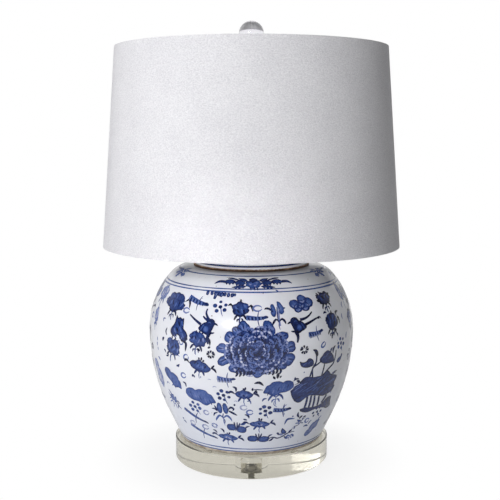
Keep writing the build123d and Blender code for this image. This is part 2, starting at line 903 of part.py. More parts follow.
def finial_base():
    """The turned metal foot of the finial, bored for its threaded insert."""
    foot_top = finial_bottom + finial_foot_height
    cup_bottom = finial_base_top - finial_cup_height
    waist = (foot_top + cup_bottom) / 2
    bore = finial_insert_radius + finial_insert_fit
    return turned(
        Polyline(
            at(finial_cup_radius, cup_bottom),
            at(finial_cup_radius, finial_base_top),
            at(0, finial_base_top),
            at(0, thread_top),
            at(bore, thread_top),
            at(bore, finial_bottom),
            at(finial_foot_radius, finial_bottom),
            at(finial_foot_radius, foot_top),
        ),
        ThreePointArc(
            at(finial_foot_radius, foot_top),
            at(finial_waist_radius, waist),
            at(finial_cup_radius, cup_bottom),
        ),
    )


def finial_ball():
    """The solid crystal ball, with a small flat where it is cemented to its base."""
    flat_angle = -math.degrees(math.asin(ball_drop / finial_ball_radius))
    centre = (0, ball_centre)
    flat_level = ball_centre - ball_drop
    return turned(
        arc(centre, finial_ball_radius, 90, flat_angle),
        Polyline(
            at(finial_ball_flat_radius, flat_level),
            at(0, flat_level),
            at(0, ball_centre + finial_ball_radius),
        ),
    )


# ---------------------------------------------------------------- every piece, by name
parts = {}
parts["base_disc"] = base_disc()
parts["base_pads"] = base_pads()
parts["base_washer"] = tube(
    base_washer_radius, rod_radius + washer_clearance, base_washer_bottom, counterbore_top
)
parts["base_lock_washer"] = lock_washer()
parts["base_nut"] = hex_nut(base_nut_flats, base_nut_bottom, base_nut_height, rod_radius + nut_clearance)
parts["jar_seat_ring"] = tube(
    foot_radius - seat_setback, foot_radius - seat_setback - seat_width, base_top, foot_level
)
parts["jar"] = jar()
parts["cord_grommet"] = cord_grommet()
parts["jar_lid"] = lid()
parts["lamp_rod"] = tube(rod_radius, rod_bore_radius, rod_bottom, rod_top)
parts["vase_cap"] = vase_cap()
parts["neck_tube"] = neck_tube()
parts["harp_saddle"] = harp_saddle()
parts["saddle_nut"] = hex_nut(saddle_nut_flats, saddle_top, saddle_nut_height, rod_radius + nut_clearance)
parts["harp_bow"] = harp_bow()
parts["harp_stud"] = harp_stud()
parts["harp_ferrule_left"] = Pos(-harp_leg_offset, 0, 0) * ferrule()
parts["harp_ferrule_right"] = Pos(harp_leg_offset, 0, 0) * ferrule()
parts["socket_cap"] = socket_cap()
parts["socket_set_screw"] = set_screw()
parts["socket_shell"] = socket_shell()
parts["socket_liner"] = socket_liner()
parts["socket_body"] = socket_body()
parts["socket_screw_shell"] = screw_shell()
parts["socket_terminal_screws"] = terminal_screws()
parts["socket_centre_contact"] = tube(centre_contact_radius, 0.0, socket_body_top, bulb_tip_bottom)
parts["switch_shaft"] = switch_shaft()
parts["switch_knob"] = switch_knob()
parts["bulb_glass"] = bulb_glass()
parts["bulb_screw_cap"] = bulb_cap()
parts["bulb_insulator"] = bulb_insulator()
parts["bulb_tip_contact"] = tube(bulb_tip_radius, 0.0, bulb_tip_bottom, bulb_insulator_bottom)
parts["shade_cover"] = shade_cover()
parts["shade_liner"] = shade_liner()
parts["shade_top_ring"] = wire_ring(shade_top, -1)[0]
parts["shade_bottom_ring"] = wire_ring(shade_bottom, 1)[0]
parts["shade_top_binding"] = top_binding()
parts["shade_bottom_binding"] = edge_binding(shade_bottom, 1)
parts["shade_spider"] = spider()
parts["finial_insert"] = tube(
    finial_insert_radius,
    finial_insert_bore,
    finial_bottom + finial_insert_recess,
    thread_top - finial_insert_recess,
)
parts["finial_base"] = finial_base()
parts["finial_ball"] = finial_ball()

os.makedirs("parts", exist_ok=True)
for name, shape in parts.items():
    export_step(shape, f"parts/{name}.step")

print(f"lid seat {ledge_level:.2f}, saddle {saddle_top:.2f}, stud plate {stud_plate_top:.2f}")
print(f"shade {shade_bottom:.2f} to {shade_top:.2f}, ball centre {ball_centre:.2f}")
print(f"foot radius {foot_radius:.2f}, belly at {belly_level:.2f}, lid radius {lid_radius:.2f}")
print(f"outlet {outlet_plane().origin}, height {ball_centre + finial_ball_radius:.2f}")
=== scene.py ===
"""Looks for the ginger jar lamp: glaze, brushwork, cloth, metal, glass, light and camera.

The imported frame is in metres; sizes on the jar's painting are in millimetres, on the curved surface.
A spot on the jar has an azimuth, in degrees to the right of the front as the camera sees it, and a height,
in millimetres up the side from the foot.
"""

import math
import random

import bpy
import numpy as np
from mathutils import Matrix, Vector


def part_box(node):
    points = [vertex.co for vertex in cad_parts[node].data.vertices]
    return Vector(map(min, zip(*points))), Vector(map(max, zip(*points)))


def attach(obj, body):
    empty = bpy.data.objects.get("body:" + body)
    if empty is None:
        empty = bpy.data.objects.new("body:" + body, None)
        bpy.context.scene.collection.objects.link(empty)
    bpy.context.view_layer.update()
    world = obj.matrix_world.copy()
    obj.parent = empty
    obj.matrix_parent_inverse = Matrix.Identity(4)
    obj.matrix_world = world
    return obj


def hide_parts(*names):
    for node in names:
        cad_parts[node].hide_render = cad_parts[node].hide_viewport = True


MM = 0.001
INCH = 0.0254
TINY = 1e-6                  # m: places closer than this are one
NEAR = 1e-4                  # m: and edges closer than this
# steps round each turned piece
ROUND = {"jar": 256, "lid": 224, "disc": 256, "seat_ring": 192, "shade": 288, "ball": 128, "cap": 72}
OUTLINE_STEP = 2 * MM        # between the points of a ceramic outline
CORNER = math.radians(14.0)    # an outline that turns by more than this has an edge there
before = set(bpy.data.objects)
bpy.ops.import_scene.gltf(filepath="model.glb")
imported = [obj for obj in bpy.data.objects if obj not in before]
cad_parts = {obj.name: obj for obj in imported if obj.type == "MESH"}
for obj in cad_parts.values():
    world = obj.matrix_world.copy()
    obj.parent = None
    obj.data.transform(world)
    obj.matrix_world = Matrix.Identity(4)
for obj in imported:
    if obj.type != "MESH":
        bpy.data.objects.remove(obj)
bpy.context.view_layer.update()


# ---------------------------------------------------------------- outlines of turned pieces
def seam(node):
    """The (r, z) points where a turned CAD node's surface starts, at +X, lowest first."""
    found = set()
    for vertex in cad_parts[node].data.vertices:
        x, y, z = vertex.co
        if x > 0 and abs(y) < x * 0.001:
            found.add((round(x, 6), round(z, 6)))
    return sorted(found, key=lambda p: (p[1], p[0]))


def outer_side(points):
    """The outer side of some (r, z) points, upwards: the right half of their convex hull."""
    side = []
    for p in points:
        while len(side) > 1:
            (r0, z0), (r1, z1) = side[-2:]
            if (r1 - r0) * (p[1] - z0) - (z1 - z0) * (p[0] - r0) > 0:
                break
            side.pop()
        side.append(p)
    return side


def rounded(points, step):
    """The same outline with more points on its curves, and its corners kept sharp."""
    pts = np.array(points)
    chords = np.diff(pts, axis=0)
    lengths = np.hypot(*chords.T)
    slopes = chords / lengths[:, None]
    out = []
    for i, length in enumerate(lengths):
        ends = []
        for at, other in ((i, i - 1), (i + 1, i + 1)):
            if 0 <= other < len(slopes) and np.dot(slopes[i], slopes[other]) > math.cos(CORNER):
                a, b = lengths[i], lengths[other]
                ends.append((slopes[i] * b + slopes[other] * a) / (a + b) * length)
            else:
                ends.append(slopes[i] * length)
        count = max(1, math.ceil(length / step))
        for k in range(count):
            t = k / count
            h00, h10 = 2 * t**3 - 3 * t**2 + 1, t**3 - 2 * t**2 + t
            h01, h11 = 3 * t**2 - 2 * t**3, t**3 - t**2
            out.append(h00 * pts[i] + h10 * ends[0] + h01 * pts[i + 1] + h11 * ends[1])
    out.append(pts[-1])
    return [tuple(p) for p in out]


def pushed_out(points, distance):
    """An outline moved along its own normals, outwards if distance is positive."""
    pts = np.array(points)
    along = np.gradient(pts, axis=0)
    normal = np.stack([along[:, 1], -along[:, 0]], axis=1) / np.hypot(*along.T)[:, None]
    return [tuple(p) for p in pts + normal * distance]


# ---------------------------------------------------------------- mesh pieces
def piece(name, verts, faces, material, body, sharp=30.0, replaces=()):
    """A mesh that rides on a body, smooth except where it turns by more than sharp degrees."""
    mesh = bpy.data.meshes.new(name)
    mesh.from_pydata(verts, [], faces)
    mesh.materials.append(material)
    mesh.shade_smooth()
    mesh.set_sharp_from_angle(angle=math.radians(sharp))
    obj = bpy.data.objects.new(name, mesh)
    bpy.context.scene.collection.objects.link(obj)
    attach(obj, body)
    if replaces:
        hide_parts(*replaces)
    return obj


def lathe(name, outline, material, body, segments, closed=False, replaces=(), sharp=30.0, wobble=None):
    """A surface turned about the lamp's axis; its UVs are metres round and along the outline.

    A closed outline's last strip is narrow in the UVs. wobble adds to the radius at an angle and a height.
    """
    rings, verts, faces, uvs = [], [], [], []
    along = np.concatenate([[0], np.cumsum(np.hypot(*np.diff(np.array(outline), axis=0).T))])
    widest = max(r for r, z in outline)
    for r, z in outline:
        if r < TINY / 10:
            rings.append([len(verts)] * (segments + 1))
            verts.append((0, 0, z))
            continue
        ring = list(range(len(verts), len(verts) + segments))
        rings.append(ring + ring[:1])
        for i in range(segments):
            a = 2 * math.pi * i / segments
            out = r + (wobble(a, z) if wobble else 0)
            verts.append((out * math.cos(a), out * math.sin(a), z))
    order = list(range(len(outline))) + ([0] if closed else [])
    for low, high in zip(order, order[1:]):
        v0, v1 = along[low], along[high] if high else along[-1] + widest * 0.01
        for i in range(segments):
            corners = [(rings[low][i], i, v0), (rings[low][i + 1], i + 1, v0),
                       (rings[high][i + 1], i + 1, v1), (rings[high][i], i, v1)]
            kept = []
            for corner in corners:
                if corner[0] not in [k[0] for k in kept]:
                    kept.append(corner)
            if len(kept) > 2:
                faces.append([k[0] for k in kept])
                uvs += [(k[1] / segments * 2 * math.pi * widest, k[2]) for k in kept]
    obj = piece(name, verts, faces, material, body, sharp, replaces)
    layer = obj.data.uv_layers.new(name="metres")
    layer.data.foreach_set("uv", [c for uv in uvs for c in uv])
    return obj


def band(z, radius, height, lift):
    """The outline of a thin upright ring laid on a turned surface, with its edges tucked in."""
    profile = ((-1, 0), (-0.9, lift), (0, lift), (0.9, lift), (1, 0))
    return [(radius + out, z + k * height / 2) for k, out in profile]


# ---------------------------------------------------------------- material tools
def feed(tree, socket, value):
    """Gives an input socket a value or a link."""
    if isinstance(value, bpy.types.NodeSocket):
        tree.links.new(value, socket)
    else:
        socket.default_value = value


def add_node(tree, kind, *inputs, **settings):
    """A new node, with values or links for its inputs in their order."""
    made = tree.nodes.new("ShaderNode" + kind)
    for name, value in settings.items():
        setattr(made, name, value)
    for socket, value in zip(made.inputs, inputs):
        feed(tree, socket, value)
    return made


class Material:
    """A Principled material with short ways to add nodes in object coordinates, in metres."""

    def __init__(self, name, colour, roughness=0.5, **values):
        self.made = bpy.data.materials.new(name)
        self.made.use_nodes = True
        self.tree = self.made.node_tree
        self.shader = self.tree.nodes["Principled BSDF"]
        self.made.diffuse_color = (*colour, 1)
        for setting, value in dict(Base_Color=(*colour, 1), Roughness=roughness, **values).items():
            self.shader.inputs[setting.replace("_", " ")].default_value = value

    def node(self, kind, inputs=None, **settings):
        """A new node, with values or links for its inputs by name."""
        made = add_node(self.tree, kind, **settings)
        for name, value in (inputs or {}).items():
            feed(self.tree, made.inputs[name], value)
        return made

    def place(self, stretch=(1, 1, 1)):
        """The object's own coordinates in metres, stretched for a grain."""
        start = self.node("TexCoord").outputs["Object"]
        return self.node("Mapping", {"Vector": start, "Scale": stretch}).outputs["Vector"]

    def noise(self, size, detail=2.0, stretch=(1, 1, 1), rough=0.5):
        """Noise whose features are about size metres apart, from 0 to 1."""
        return self.node("TexNoise", {"Vector": self.place(stretch), "Scale": 1 / size, "Detail": detail,
                                      "Roughness": rough}).outputs["Fac"]

    def math(self, operation, *values, clamp=False):
        """A sum of values or links."""
        return add_node(self.tree, "Math", *values, operation=operation, use_clamp=clamp).outputs[0]

    def ramp(self, factor, *stops):
        """A colour or a value along a factor; stops are (place, colour) or (place, value)."""
        made = self.node("ValToRGB", {"Fac": factor})
        marks = made.color_ramp.elements
        while len(marks) < len(stops):
            marks.new(0.5)
        for mark, (at, colour) in zip(marks, stops):
            mark.position = at
            mark.color = (*colour, 1) if isinstance(colour, tuple) else (colour, colour, colour, 1)
        return made.outputs["Color"]

    def mix(self, factor, a, b):
        """Colour a where the factor is 0, b where it is 1."""
        made = self.node("Mix", data_type="RGBA")
        for index, value in ((0, factor), (6, a), (7, b)):
            feed(self.tree, made.inputs[index], (*value, 1) if isinstance(value, tuple) else value)
        return made.outputs[2]

    def link(self, socket, name):
        """Joins a node's output to one of the shader's inputs."""
        self.tree.links.new(socket, self.shader.inputs[name])

    def bump(self, height, distance, strength=1.0):
        """Relief of a given depth in metres."""
        made = self.node("Bump", {"Height": height, "Distance": distance, "Strength": strength})
        self.link(made.outputs["Normal"], "Normal")


# ---------------------------------------------------------------- materials
GLAZE_WHITE = (0.785, 0.795, 0.845)
GLAZE_BLUISH = (0.690, 0.730, 0.850)
GLAZE_ROUGHNESS = 0.09
GLAZE_RIPPLE = (0.00012, 0.35)          # depth in metres, strength
POOLED_AT_TABLE = 0.95                  # share of the bluish glaze at the table's level
POOLED_PER_METRE = -5.5                 # and how it falls off upwards
SPECK = (0.30, 0.25, 0.20)
SPECK_FROM, SPECK_FULL = 0.775, 0.80    # of a noise from 0 to 1


def glaze():
    """Milky white glaze, bluer where it pooled low on the jar, with faint mottling and iron specks."""
    m = Material("porcelain_glaze", GLAZE_WHITE, GLAZE_ROUGHNESS, IOR=1.5, Specular_IOR_Level=0.5)
    level = m.node("SeparateXYZ", {"Vector": m.place()}).outputs["Z"]
    low = m.math("MULTIPLY_ADD", level, POOLED_PER_METRE, POOLED_AT_TABLE, clamp=True)
    mottled = m.math("MULTIPLY_ADD", m.noise(0.035, 4), 0.5, -0.2)
    pooled = m.math("ADD", m.math("MULTIPLY", low, 0.85), mottled, clamp=True)
    body = m.mix(pooled, GLAZE_WHITE, GLAZE_BLUISH)
    speck = m.ramp(m.noise(0.006, 1), (0.0, 0.0), (SPECK_FROM, 0.0), (SPECK_FULL, 1.0))
    m.link(m.mix(speck, body, SPECK), "Base Color")
    m.bump(m.noise(0.012, 2), *GLAZE_RIPPLE)
    return m.made


INK_PALE = (0.47, 0.49, 0.64)
INK_WASH = (0.17, 0.215, 0.45)
INK_LIGHT = (0.075, 0.130, 0.37)
INK_COBALT = (0.030, 0.068, 0.255)
INK_DARK = (0.014, 0.026, 0.115)
INK_BLACK = (0.008, 0.009, 0.024)
INK_RAMP = ((0.0, GLAZE_WHITE), (0.14, INK_PALE), (0.30, INK_WASH), (0.46, INK_LIGHT), (0.62, INK_COBALT),
            (0.80, INK_DARK), (1.0, INK_BLACK))
INK_BARE = 0.06                         # ink values up to this stay bare glaze, with no mottling


def cobalt():
    """Cobalt under the glaze: the piece's ink value runs from bare glaze through pale wash to near black."""
    m = Material("cobalt_ink", INK_COBALT, GLAZE_ROUGHNESS, IOR=1.5)
    ink = m.node("Attribute", attribute_name="ink").outputs["Fac"]
    uneven = m.math("MULTIPLY_ADD", m.noise(0.0038, 4, rough=0.65), 0.52, -0.26)
    wide = m.math("MULTIPLY_ADD", m.noise(0.03, 2), 0.16, -0.08)
    painted = m.math("GREATER_THAN", ink, INK_BARE)
    varied = m.math("MULTIPLY_ADD", m.math("ADD", uneven, wide), painted, ink)
    m.link(m.ramp(varied, *INK_RAMP), "Base Color")
    m.bump(m.noise(0.012, 2), *GLAZE_RIPPLE)
    return m.made


# the mouth's clay runs from dark iron brown to tan; the tan end is a painted highlight on the lip's top
MOUTH_CLAY = ((0.40, (0.045, 0.022, 0.012)), (0.62, (0.09, 0.045, 0.025)), (0.86, (0.50, 0.33, 0.22)))
FOOT_CLAY = ((0.35, (0.33, 0.27, 0.21)), (0.62, (0.62, 0.55, 0.47)))
MOUTH_DEPTH = 0.02                      # m below the mouth's top, where the foot's greyer clay starts
TOP_HIGHLIGHT = 0.32                         # how far the top of the mouth is lightened towards tan: a painted highlight
HIGHLIGHT_PER_METRE = 160.0


def clay():
    """Bare fired clay: dark iron brown at the mouth with a painted tan highlight on top, greyer at the foot.
    """
    m = Material("bare_clay", (0.10, 0.06, 0.035), 0.75)
    level = m.node("SeparateXYZ", {"Vector": m.place()}).outputs["Z"]
    # painted highlight: the clay lightens towards the top of the mouth
    painted_highlight = m.math("MULTIPLY_ADD", level, HIGHLIGHT_PER_METRE, -HIGHLIGHT_PER_METRE * mouth_top + TOP_HIGHLIGHT)
    brown = m.ramp(m.math("ADD", m.noise(0.009, 3), painted_highlight), *MOUTH_CLAY)
    grey = m.ramp(m.noise(0.008, 4), *FOOT_CLAY)
    m.link(m.mix(m.math("GREATER_THAN", level, mouth_top - MOUTH_DEPTH), grey, brown), "Base Color")
    m.bump(m.noise(0.0012, 3), 0.0003, 0.6)
    return m.made


CLOTH_TONES = ((0.32, (0.64, 0.635, 0.67)), (0.50, (0.745, 0.74, 0.77)), (0.68, (0.84, 0.835, 0.86)))


def cloth():
    """Off-white crepe: a fine pebbled crinkle of slightly uneven threads."""
    m = Material("shade_cloth", (0.74, 0.735, 0.765), 0.9, Sheen_Weight=0.12, Sheen_Roughness=0.5)
    crinkle = m.noise(0.0021, 2, stretch=(1, 1, 1.4), rough=0.55)
    thread = m.noise(0.0011, 2, stretch=(1, 1, 3.2))
    tone = m.math("ADD", m.math("MULTIPLY", crinkle, 0.82), m.math("MULTIPLY", m.noise(0.05, 2), 0.18))
    m.link(m.ramp(tone, *CLOTH_TONES), "Base Color")
    m.bump(m.math("ADD", crinkle, m.math("MULTIPLY", thread, 0.4)), 0.0009, 0.6)
    return m.made


def mottled(name, colour, roughness, dark, light, patches, skin, **values):
    """A matt material in patches from dark to light, with a fine skin: (grain, detail, depth, strength)."""
    m = Material(name, colour, roughness, **values)
    m.link(m.ramp(patches(m), dark, light), "Base Color")
    grain, detail, depth, strength = skin
    m.bump(m.noise(grain, detail), depth, strength)
    return m.made


def backing():
    """The shade's smooth white lining sheet."""
    return mottled("shade_backing", (0.86, 0.86, 0.85), 0.55,
                   (0.3, (0.83, 0.83, 0.82)), (0.7, (0.89, 0.89, 0.88)),
                   lambda m: m.noise(0.05, 3), (0.0015, 2, 0.0001, 0.3))


METAL_GRAIN, METAL_WEAR = 0.004, 0.12     # m, and how far smudges change the roughness


def metal(name, colour, roughness):
    """Plated metal with a fine brushed grain and faint smudges in its gloss."""
    m = Material(name, colour, roughness, Metallic=1.0)
    smudge = m.noise(0.012, 4)
    spread = m.math("MULTIPLY_ADD", smudge, METAL_WEAR * 2, roughness - METAL_WEAR)
    m.link(m.math("MAXIMUM", spread, 0.04), "Roughness")
    dull = tuple(c * 0.78 for c in colour)
    m.link(m.ramp(m.noise(METAL_GRAIN, 5, stretch=(1, 1, 6)), (0.25, dull), (0.7, colour)), "Base Color")
    m.bump(m.noise(METAL_GRAIN / 6, 3, stretch=(1, 1, 8)), 0.00002, 0.4)
    return m.made


def threaded(name, colour, roughness, pitch):
    """Metal with a fine screw thread cut round the Z axis, with painted shade in its grooves."""
    m = Material(name, colour, roughness, Metallic=1.0)
    wave = m.node("TexWave", {"Vector": m.place(), "Scale": 2 * math.pi / pitch / 20, "Distortion": 0.0},
                  bands_direction="Z").outputs["Fac"]
    # painted shade: the thread's grooves are darker than its crests
    m.link(m.ramp(wave, (0.1, tuple(c * 0.35 for c in colour)), (0.7, colour)), "Base Color")
    m.bump(wave, 0.0004, 0.8)
    return m.made


def moulded(name, colour, roughness):
    """Moulded plastic or rubber with a fine skin texture."""
    lighter = tuple(min(1, c * 1.25 + 0.004) for c in colour)
    return mottled(name, colour, roughness, (0.3, colour), (0.75, lighter), lambda m: m.noise(0.01, 3),
                   (0.0008, 2, 0.00005, 0.5))


def clear(name, colour, ior, roughness=0.0):
    """A clear solid, with a trace of body colour and of polish marks."""
    m = Material(name, colour, roughness, IOR=ior, Transmission_Weight=1.0)
    m.bump(m.noise(0.02, 2), 0.00002, 0.2)
    return m.made


def frosted():
    """Inside-frosted bulb glass."""
    return mottled("frosted_glass", (0.90, 0.90, 0.88), 0.32,
                   (0.3, (0.86, 0.86, 0.84)), (0.7, (0.93, 0.93, 0.91)),
                   lambda m: m.noise(0.02, 3), (0.0006, 2, 0.00003, 0.4), IOR=1.45, Transmission_Weight=0.35)


def fibre():
    """The socket's brown fibre sleeve."""
    return mottled("fibre_liner", (0.42, 0.31, 0.19), 0.85,
                   (0.3, (0.33, 0.23, 0.13)), (0.7, (0.5, 0.38, 0.25)),
                   lambda m: m.noise(0.002, 5, stretch=(1, 1, 0.3)), (0.0008, 3, 0.0001, 0.6))


# ---------------------------------------------------------------- the jar's surface
jar_points = seam("jar")
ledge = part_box("jar_lid")[0].z
mouth_top = max(z for r, z in jar_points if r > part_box("jar_lid")[1].x)
foot = min(z for r, z in jar_points)
jar_side = outer_side([p for p in jar_points if p[1] <= ledge + TINY])
jar_side = rounded([p for p in jar_side if p[1] > foot + TINY], OUTLINE_STEP)
SIDE = np.array(jar_side) / MM
UP = np.concatenate([[0], np.cumsum(np.hypot(*np.diff(SIDE, axis=0).T))])
SLOPE = np.gradient(SIDE, UP, axis=0)
GLAZE_LIFT = 0.10            # mm: glaze over the clay body
PAINT_LIFT = 0.08            # mm: brushwork over the glaze, kept apart so that it draws cleanly
LAYER_LIFT = 0.07            # mm: each layer of brushwork over the last
TURN_LIFT = 0.008            # mm: shapes of one layer, over each other in turns of TURNS
TURNS = 8
BRUSH_SPREAD = 1.3           # a loaded brush leaves its strokes this much wider than they are drawn


def on_jar(azimuth, up, lift):
    """Places and normals on the jar, for arrays of azimuth in radians and height in mm along the side."""
    r, z = np.interp(up, UP, SIDE[:, 0]), np.interp(up, UP, SIDE[:, 1])
    out, rise = np.interp(up, UP, SLOPE[:, 1]), -np.interp(up, UP, SLOPE[:, 0])
    across = r + lift * out
    places = np.stack([across * np.sin(azimuth), -across * np.cos(azimuth), z + lift * rise], axis=-1) * MM
    normals = np.stack([out * np.sin(azimuth), -out * np.cos(azimuth), rise], axis=-1)
    return places, normals


def curve(points, step=3.0):
    """A smooth line through points, as an array about step apart."""
    p = np.array(points, float)
    if len(p) < 3:
        count = max(2, math.ceil(np.hypot(*(p[1] - p[0])) / step) + 1)
        return p[0] + (p[1] - p[0]) * np.linspace(0, 1, count)[:, None]
    ends = np.vstack([2 * p[0] - p[1], p, 2 * p[-1] - p[-2]])
    out = []
    for i in range(1, len(ends) - 2):
        a, b, c, d = ends[i - 1: i + 3]
        count = max(2, math.ceil(np.hypot(*(c - b)) / step))
        for t in np.arange(count) / count:
            out.append(0.5 * (2 * b + (c - a) * t + (2 * a - 5 * b + 4 * c - d) * t**2
                              + (3 * b - a - 3 * c + d) * t**3))
    return np.array(out + [p[-1]])


class Painting:
    """Brushwork on the jar: flat shapes drawn in mm round a spot, u to the right and v up, over the glaze.

    Ink runs from 0, bare glaze, to 1, black. On the back (side -1) everything is mirrored.
    """

    def __init__(self, name, side, seed):
        self.name, self.side, self.random = name, side, random.Random(seed)
        self.verts, self.normals, self.inks, self.faces, self.drawn = [], [], [], [], 0
        self.at(0, 100)

    def at(self, azimuth, height, turn=0.0, size=1.0, flip=1):
        """Draws round this spot from now on; flip is -1 for a mirrored motif."""
        self.spot = (azimuth, height, math.radians(turn), size, flip)

    def put(self, points, ink, layer):
        """Adds points to the jar; returns the number of the first."""
        azimuth, height, turn, size, flip = self.spot
        u, v = np.array(points, float).T * size
        u = u * flip
        u, v = u * math.cos(turn) - v * math.sin(turn), u * math.sin(turn) + v * math.cos(turn)
        up = np.clip(height + v, 1, UP[-1])
        a = math.radians(azimuth) + u / np.interp(up, UP, SIDE[:, 0])
        a = a if self.side > 0 else math.pi - a
        lift = GLAZE_LIFT + PAINT_LIFT + LAYER_LIFT * layer + TURN_LIFT * (self.drawn % TURNS)
        places, normals = on_jar(a, up, lift)
        first = len(self.verts)
        self.verts += places.tolist()
        self.normals += normals.tolist()
        self.inks += list(np.broadcast_to(ink, len(places)))
        return first

    def face(self, *corners):
        """A face, turned so that it looks out from the jar."""
        a, b, c = (Vector(self.verts[k]) for k in corners[:3])
        outwards = (b - a).cross(c - a).dot(Vector(self.normals[corners[0]])) > 0
        self.faces.append(corners if outwards else corners[::-1])

    def patch(self, edge, ink=(0.6, 0.5), layer=0, line=0.0, line_width=0.8, soft=True):
        """A patch inside a closed edge: its ink at the edge and in the middle, and a contour if asked."""
        edge = curve(list(edge) + [edge[0]], 2.4)[:-1] if soft else np.array(edge, float)
        middle, count = edge.mean(axis=0), len(edge)
        steps = max(2, math.ceil(np.hypot(*(edge - middle).T).max() / 4.0))
        last = None
        for k in range(steps):
            share = 1 - k / steps
            start = self.put(middle + (edge - middle) * share, ink[1] + (ink[0] - ink[1]) * share**2, layer)
            if last is not None:
                for i in range(count):
                    j = (i + 1) % count
                    self.face(last + i, last + j, start + j, start + i)
            last = start
        tip = self.put([middle], ink[1], layer)
        for i in range(count):
            self.face(last + i, last + (i + 1) % count, tip)
        self.drawn += 1
        if line:
            loop = np.vstack([edge, edge[:1]]) * 0.97 + middle * 0.03
            self.ribbon(loop, np.full(len(loop), line_width), line, layer + 1)

    def blob(self, centre=(0, 0), radii=(8, 6), lobes=5, depth=0.12, turn=0.0, ink=(0.6, 0.5), layer=0,
             line=0.0, ragged=0.04, line_width=0.8):
        """A lobed round patch."""
        count = max(12, 4 * lobes, int(math.pi * (radii[0] + radii[1]) / 2.2))
        a = np.linspace(0, 2 * math.pi, count, endpoint=False)
        phase = self.random.uniform(0, math.pi)
        reach = 1 - depth + depth * np.abs(np.sin(lobes * a / 2 + phase)) if lobes else np.ones(count)
        reach = reach + np.array([self.random.uniform(-ragged, ragged) for _ in a])
        t = math.radians(turn)
        x, y = radii[0] * reach * np.cos(a), radii[1] * reach * np.sin(a)
        edge = np.stack([x * math.cos(t) - y * math.sin(t), x * math.sin(t) + y * math.cos(t)], axis=-1)
        self.patch(edge + np.array(centre, float), ink, layer, line, line_width, soft=False)

    def ribbon(self, path, widths, ink, layer):
        """A strip of given widths along a path of close points."""
        along = np.gradient(path, axis=0)
        along /= np.maximum(np.hypot(*along.T), 1e-9)[:, None]
        beside = np.stack([-along[:, 1], along[:, 0]], axis=-1) * (np.asarray(widths) / 2)[:, None]
        n = len(path)
        first = self.put(np.vstack([path + beside, path, path - beside]), ink, layer)
        for i in range(n - 1):
            for row in (0, n):
                a, b = first + row + i, first + row + n + i
                self.face(a, b, b + 1, a + 1)
        self.drawn += 1

    def stroke(self, points, widths=(0.4, 1.6, 0.3), ink=0.85, layer=1):
        """One brush stroke: start, middle and end widths in mm."""
        path = curve(points)
        t = np.linspace(0, 1, len(path))
        start, middle, end = widths
        swell = start + (end - start) * t + (middle - (start + end) / 2) * np.sin(math.pi * t) ** 0.8
        self.ribbon(path, np.maximum(swell * BRUSH_SPREAD, 0.3), ink, layer)

    def dot(self, centre, radius, ink=0.85):
        """A round spot of the brush."""
        self.blob(centre, (radius, radius * 0.92), lobes=0, ink=(ink, ink - 0.04), layer=1, ragged=0.07)

    def finish(self, material):
        """Makes the mesh, lit as the jar's own surface is."""
        obj = piece(self.name, self.verts, self.faces, material, "stand", sharp=180)
        obj.data.normals_split_custom_set_from_vertices(self.normals)
        layer = obj.data.attributes.new("ink", "FLOAT", "POINT")
        layer.data.foreach_set("value", self.inks)


# ---------------------------------------------------------------- motifs, drawn round (0, 0) in mm
# A bird's tail strokes: the points of each.
RIGHT_TAILS = (((2, 8.5), (10, 9.6), (17.6, 12.8), (24, 18)), ((9, 0.5), (21, 4.4), (30, 7.6), (35, 8.4)))
LEFT_TAILS = (((-6, 9), (-1, 15), (2, 21), (1, 27)), ((-3, 10), (3, 13), (6, 16)),
              ((8, 3.5), (18, 9), (29, 16)))


def leaf(p, *points, thick=2.8, ink=0.9, layer=1):
    """One comma of the brush, thickest in its middle."""
    p.stroke(points, (0.7, thick, 0.6), ink, layer)


def curls(p, x=0, y=0, wide=16, ink=0.88, knob=True):
    """Leaves that arch out to both sides of a short stalk and curl down."""
    h = wide / 2
    leaf(p, (x, y), (x - h * 0.5, y + h * 0.38), (x - h, y - h * 0.25), (x - h * 1.08, y - h * 0.55),
         thick=2.5, ink=ink)
    leaf(p, (x, y), (x + h * 0.5, y + h * 0.42), (x + h * 0.95, y), (x + h * 1.1, y - h * 0.45), thick=2.7,
         ink=ink)
    p.stroke([(x + 0.5, y + 2), (x - 0.6, y - h * 0.6), (x + 0.8, y - h * 1.25)], (0.8, 1.1, 0.6), ink - 0.25)
    if knob:
        leaf(p, (x - 1, y - h * 0.3), (x - h * 0.5, y - h * 0.45), (x - h * 0.55, y - h * 0.85), thick=1.9,
             ink=ink - 0.1)
        leaf(p, (x + 1, y - h * 0.3), (x + h * 0.4, y - h * 0.3), (x + h * 0.55, y - h * 0.8), thick=1.9,
             ink=ink - 0.1)


def stamens(p, wide, tall, ink, count, lean):
    """Short bold wedges that stand up from the top of a blossom."""
    for i in range(count):
        a = math.radians(90 + lean + (i - (count - 1) / 2) * 21 + p.random.uniform(-5, 5))
        x, y = wide / 2 * 0.84 * math.cos(a), tall / 2 * 0.88 * math.sin(a)
        far = 4.2 * p.random.uniform(0.7, 1.25)
        p.stroke([(x, y), (x + far * math.cos(a), y + far * math.sin(a))], (1.5, 2.3, 1.3), ink)


def folds(p, wide, tall, ink, count=6):
    """Light and dark strokes that fold a solid patch into petals."""
    for i in range(count):
        x = (i + 0.5) / count * wide * 0.76 - wide * 0.38 + p.random.uniform(-1, 1)
        y = p.random.uniform(-0.2, 0.24) * tall
        lean = p.random.uniform(-1.6, 1.6)
        p.stroke([(x - lean, y - tall * 0.15), (x + lean, y + tall * 0.02),
                  (x + 2.2 * lean, y + tall * 0.15)],
                 (0.5, 2.3, 0.5), ink - p.random.uniform(0.16, 0.32) if i % 2 else ink + 0.2, 2)


